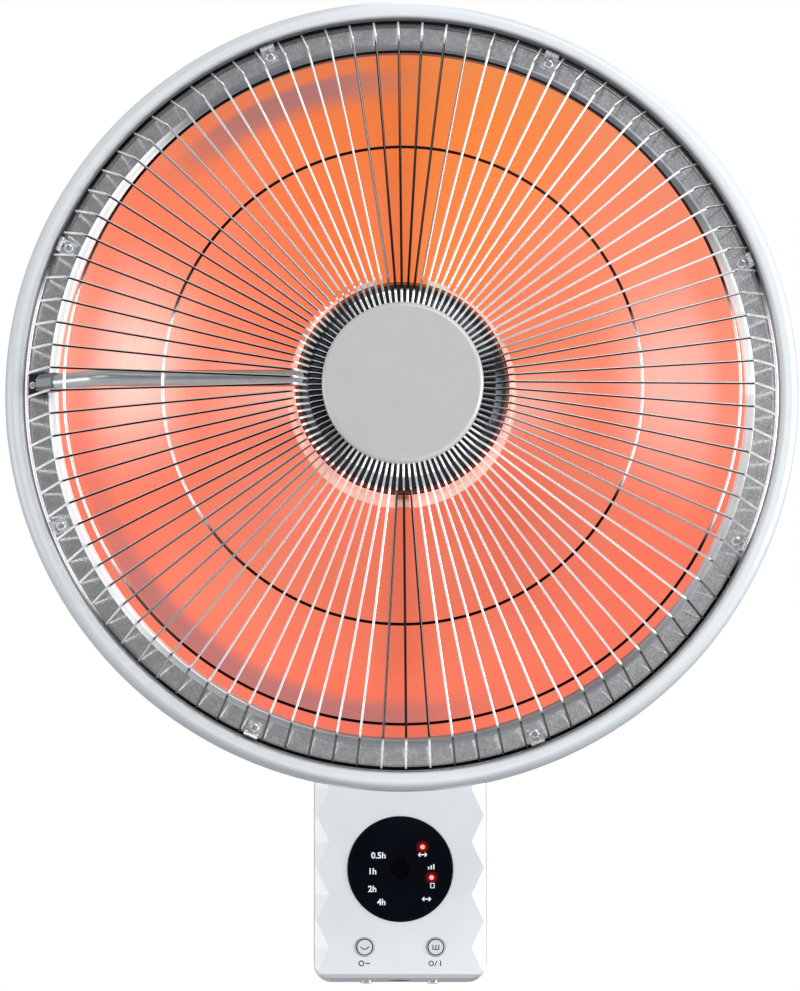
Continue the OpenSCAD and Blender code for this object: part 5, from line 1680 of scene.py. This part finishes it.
@dataclass
class ControlBox:
    """The control box: faceted housings, display, keys, marks and what is inside."""

    box_out: float = 60.0
    lens_r: float = 30.7
    lens_z: float = -62.0
    lens_dome: float = 0.8
    lens_edge: float = 1.2
    numeral: float = 5.0
    hours: tuple[tuple[str, float, float], ...] = (("0.5h", -12.6, 7.7), ("1h", -16.2, -1.5),
                                                   ("2h", -16.2, -11.7), ("4h", -10.9, -19.3))
    arrows: tuple[Point2, ...] = ((12.9, 8.3), (15.2, -17.4))
    lit: tuple[Point2, ...] = ((12.9, 12.8), (18.1, -4.9))
    key_r: float = 5.4
    key_x: float = 20.6
    key_z: float = -107.2
    key_up: float = 0.6
    legend_down: float = 9.4

    def put(self, mesh: bpy.types.Mesh, name: str, finish: Finish, body: str, at: Sequence[float],
            stands_for: Sequence[str] = (), slot: str | None = None, crease: float = 30.0) -> None:
        """Places a mesh on the box's front.

        Args:
            mesh: The mesh, drawn as across, up, out.
            name: Name of the piece.
            finish: The finish it gets.
            body: Moving body that carries it.
            at: Its shift across, up and out, in millimetres.
            stands_for: CAD nodes that it replaces.
            slot: A material slot's name, passed on; not used.
            crease: Angle in degrees above which an edge stays sharp.
        """
        mesh.transform(Matrix.Translation(at))
        Piece.finish(mesh, name, finish, body, stands_for, HEAD.box_matrix(), crease, slot)

    def lens(self) -> None:
        """Makes the domed display lens."""
        spots = tuple((x * MM, (self.lens_z + z) * MM) for x, z in self.lit)
        glass = LensGlass("display_black_lens", srgb(5, 8, 16), spots=spots, middle=(0.0, self.lens_z * MM))
        top, back, edge = self.box_out + self.lens_dome, self.box_out - 2.0, self.lens_edge
        outline = ([(PINHOLE, top)] + arc(self.lens_r - edge, top - edge, edge, edge, 88, 0, 8)
                   + [(self.lens_r, back), (PINHOLE, back)])
        self.put(Piece.lathe(outline, 128), "display_disc", glass, "base", (0, self.lens_z, 0),
                 ["display_lens"], "lens_black")

    def marks(self) -> None:
        """Draws the numerals, the small signs and the lit spots on the display."""
        draw = Marks()
        # The printed marks get a painted glow, so they read pale on the black lens.
        pale = Glowing("mark_painted_glow", srgb(190, 190, 196), light=srgb(200, 202, 210), strength=0.75)
        meshes = [draw.text(words, self.numeral, x, z) for words, x, z in self.hours]
        for x, z in self.arrows:
            meshes += draw.double_arrow(x, z)
        square = [(-1.0, -1.3), (1.0, -1.3), (1.0, 1.3), (-1.0, 1.3), (-1.0, -1.3)]
        meshes.append(draw.stroke(square, 0.65, 18.6, -9.6))
        for k in range(3):
            across = 1.5 * k - 1.8
            meshes.append(draw.stroke([(across, -1.2), (across, 0.4 + 0.7 * k)], 0.8, 18.2, 1.0))
        face = self.box_out + self.lens_dome
        self.put(Piece.join(meshes), "display_marks", pale, "base", (0, self.lens_z, face + 0.01), (),
                 "light_red")
        spot = Glowing("light_spot", srgb(255, 120, 110), roughness=0.3, light=srgb(255, 150, 140),
                       strength=1.6)
        dots = []
        for x, z in self.lit:
            dot = Piece.lathe([(PINHOLE, 0.06), (1.1, 0.05), (1.3, 0.0), (PINHOLE, 0.0)], 24)
            dot.transform(Matrix.Translation((x, z, 0)))
            dots.append(dot)
        self.put(Piece.join(dots), "display_lit_spots", spot, "base", (0, self.lens_z, face - 0.01), (),
                 "light_red")

    def key_signs(self, key: str) -> tuple[list[bpy.types.Mesh], list[bpy.types.Mesh]]:
        """Draws the sign on a key and the one under it.

        Args:
            key: Which key, timer or power.

        Returns:
            The strokes on the key, and the strokes under it.
        """
        draw = Marks()
        if key == "timer":
            return ([draw.stroke(draw.circle(2.6, 205, 335), 0.6, 0, 1.4)],
                    [draw.stroke(draw.circle(1.4), 0.6, -1.9), draw.stroke([(0.4, 0), (3.2, 0)], 0.6)])
        signs = [draw.stroke([(x, -1.3), (x, 1.3)], 0.55) for x in (-1.7, 0, 1.7)]
        signs.append(draw.stroke([(-1.9, -1.3), (1.9, -1.3)], 0.5))
        return signs, [draw.stroke(draw.circle(1.3), 0.55, -2.7), draw.stroke([(-0.7, -1.6), (0.7, 1.6)], 0.5),
                       draw.stroke([(0, -1.5), (0, 1.5)], 0.65, 2.7)]

    def keys(self) -> None:
        """Makes the two push keys with their signs."""
        print_and_groove_shade = Finish("key_ink", srgb(30, 36, 44), roughness=0.5, drift=0.1, drift_size=0.001,
                     gloss_drift=0.05, grain_size=0.0003, grain_depth=0.000003)
        r, out, flange = self.key_r, self.box_out, self.key_r + 1.2
        front, foot, back = out + self.key_up, out - 2.65, out - 3.45
        groove_in, groove_out = r - 1.15, r - 0.42
        for side, key in ((-1, "timer"), (1, "power")):
            x, body = side * self.key_x, key + "_button"
            outline = ([(PINHOLE, front), (r - 0.4, front)] + arc(r - 0.3, front - 0.3, 0.3, 0.3, 80, 0, 5)
                       + [(r, foot), (flange, foot), (flange, back), (PINHOLE, back)])
            self.put(Piece.lathe(outline, 64), key + "_key", KEY_WHITE, body, (x, self.key_z, 0), [body],
                     "key_white", 40.0)
            on_key, below = self.key_signs(key)
            legend_at = (x, self.key_z - self.legend_down, out + 0.02)
            self.put(Piece.join(below), key + "_legend", print_and_groove_shade, "base", legend_at)
            self.put(Piece.join(on_key), key + "_sign", print_and_groove_shade, body, (x, self.key_z, front + 0.01))
            # A dark ring painted near the key's edge stands for the shade in the groove round its face.
            ring = Piece.lathe([(groove_in, -0.03), (groove_in, 0.03), (groove_out, 0.03),
                                (groove_out, -0.03)], 64)
            self.put(ring, key + "_outline", print_and_groove_shade, body, (x, self.key_z, front + 0.01))

    def build(self) -> None:
        """Makes and dresses the whole box."""
        Piece.refine("front_housing", BOX_WHITE, "base", 0.3, 6.0)
        Piece.refine("rear_housing", BOX_WHITE, "base")
        Piece.refine("wall_plate", PLATE_ZINC, "base")
        self.lens()
        self.marks()
        self.keys()
        for node, finish in (("lock_screws", SCREW_STEEL), ("cord_gland", RUBBER),
                             ("swivel_bush", DARK_PLASTIC)):
            Piece.refine(node, finish, "base")
        dress(SCREW_STEEL, "housing_screws", "board_screws", "motor_screws")
        dress(BOARD_GREEN, "display_board", "power_board")
        dress(LIGHT_RED, "indicator_lights")
        dress(BLACK_PLASTIC, "remote_receiver", "button_switches", "buzzer")
        dress(DARK_PLASTIC, "power_board_parts")
        dress(CERAMIC, "terminal_block")
        dress(TURNED_STEEL, "swing_motor")


@dataclass
class Neck:
    """The swinging neck with its gear drive and the tilt hinge."""

    edge: float = 0.3

    def build(self) -> None:
        """Makes and dresses the neck and the hinge."""
        Piece.refine("neck_arm", SHELL_WHITE, "neck", crease=35.0)
        Piece.refine("sector_gear", GEAR_IVORY, "neck")
        Piece.refine("swing_pinion", GEAR_IVORY, "swing_pinion")
        for node, finish, bevel in (("tilt_bracket", PLATE_ZINC, self.edge),
                                    ("tilt_bolt", TURNED_STEEL, self.edge),
                                    ("tilt_nut", TURNED_STEEL, self.edge), ("tilt_washers", TURNED_STEEL, 0.0),
                                    ("back_cover_screws", SCREW_STEEL, 0.0),
                                    ("bracket_bolts", SCREW_STEEL, 0.0)):
            Piece.refine(node, finish, "head", bevel, 32.0)
        dress(TURNED_STEEL, "neck_shaft", "shaft_clip", "thrust_washer", "motor_shaft", "dish_spacers")
        dress(BROWN_PLASTIC, "thermal_cutout")
        dress(CERAMIC, "head_terminal")


# ---- Camera and light ----


@dataclass
class Studio:
    """A pale floor, soft lamps and the camera at the photograph's angle."""

    distance: float = 5.0
    ray_up: float = 6.14
    pitch: float = 5.484
    azimuth: float = -0.4
    aside: float = 0.0011
    focal_px: float = 8820.0
    frame_long: float = 991.0
    sensor: float = 36.0
    floor_z: float = -1.2
    aim: tuple[float, float, float] = (0.0, -0.15, 0.15)

    def camera(self) -> None:
        """Puts the camera below the head's axis, looking slightly up."""
        target = Vector((-self.aside, -HEAD.ring_out * MM, HEAD.axis_z * MM))
        az, up = math.radians(self.azimuth), math.radians(-self.ray_up)
        back = Vector((math.sin(az) * math.cos(up), -math.cos(az) * math.cos(up), math.sin(up)))
        data = bpy.data.cameras.new("camera")
        data.sensor_width = self.sensor
        data.lens = self.focal_px * self.sensor / self.frame_long
        data.clip_start, data.clip_end = 0.1, 50.0
        cam = bpy.data.objects.new("camera", data)
        bpy.context.scene.collection.objects.link(cam)
        cam.location = target + back * self.distance
        cam.rotation_euler = (math.radians(90 + self.pitch), 0.0, az)
        bpy.context.scene.camera = cam

    def lamp(self, name: str, place: Sequence[float], size: float, power: float) -> None:
        """Adds one soft square white lamp that faces the heater.

        Args:
            name: Its name.
            place: Where it stands.
            size: Its side.
            power: Its power in watts.
        """
        data = bpy.data.lights.new(name, "AREA")
        data.size, data.energy = size, power
        obj = bpy.data.objects.new(name, data)
        bpy.context.scene.collection.objects.link(obj)
        obj.location = place
        obj.rotation_euler = (Vector(self.aim) - Vector(place)).to_track_quat("-Z", "Y").to_euler()

    def world(self) -> None:
        """Lights the scene from all round, with a white view behind the object."""
        world = bpy.data.worlds.new("studio")
        bpy.context.scene.world = world
        world.use_nodes = True
        write = NodeWriter(world.node_tree)
        world.node_tree.nodes.clear()
        across, _, up = write.split(write.add("ShaderNodeTexCoord").outputs["Generated"])
        sky = write.ramp(write.span(up, -1.0, 1.0),
                         [(0.0, (0.42, 0.42, 0.43)), (0.36, (0.62, 0.63, 0.64)), (0.5, (0.42, 0.43, 0.44)),
                          (0.7, (0.42, 0.43, 0.45)), (0.88, (1.0, 1.02, 1.05)), (1.0, (1.1, 1.12, 1.15))])
        sky = write.mix(write.span(across, 0.82, 0.96, smooth=True), sky, (1.5, 1.52, 1.55))
        sky = write.mix(write.span(across, -0.96, -0.86, 1.0, 0.0, smooth=True), sky, (0.5, 0.51, 0.53))
        soft = write.add("ShaderNodeBackground", {"Color": sky, "Strength": 0.72})
        plain = write.add("ShaderNodeBackground", {"Color": (1, 1, 1, 1), "Strength": 1.0})
        seen = write.add("ShaderNodeLightPath").outputs["Is Camera Ray"]
        both = write.add("ShaderNodeMixShader", {0: seen, 1: soft.outputs[0], 2: plain.outputs[0]})
        write.add("ShaderNodeOutputWorld", {0: both.outputs[0]})

    def floor(self) -> None:
        """Lays a plain pale floor well below the heater."""
        mesh = bpy.data.meshes.new("floor")
        corners = [(x, y, self.floor_z) for x, y in ((-4, -5), (4, -5), (4, 3), (-4, 3))]
        mesh.from_pydata(corners, [], [(0, 1, 2, 3)])
        pale = Finish("floor_pale", srgb(225, 226, 228), roughness=0.7, drift=0.02, drift_size=0.4,
                      gloss_drift=0.05, grain_size=0.01, grain_depth=0.0001)
        mesh.materials.append(pale.material())
        floor = bpy.data.objects.new("floor", mesh)
        bpy.context.scene.collection.objects.link(floor)

    def build(self) -> None:
        """Sets the camera, the lamps and the floor."""
        self.camera()
        self.world()
        self.floor()
        self.lamp("key", (1.5, -3.0, 2.4), 1.8, 42)
        self.lamp("fill", (-1.9, -3.2, 1.4), 1.8, 12)
        self.lamp("left", (-3.0, -0.9, -0.1), 1.6, 22)
        self.lamp("right", (3.0, -1.2, 0.1), 1.6, 62)
        self.lamp("rear", (0.6, 1.8, 2.2), 1.2, 20)
        bpy.context.scene.view_settings.view_transform = "Standard"


def main() -> None:
    """Builds the heater."""
    logging.basicConfig(level=logging.INFO, format="%(message)s")
    Studio().build()
    for part in (RingAndBand(), Bowl(), Guard(), LampUnit(), ControlBox(), Neck()):
        part.build()
    log.info("%d pieces made", len(Piece.made))


if __name__ == "__main__":
    main()
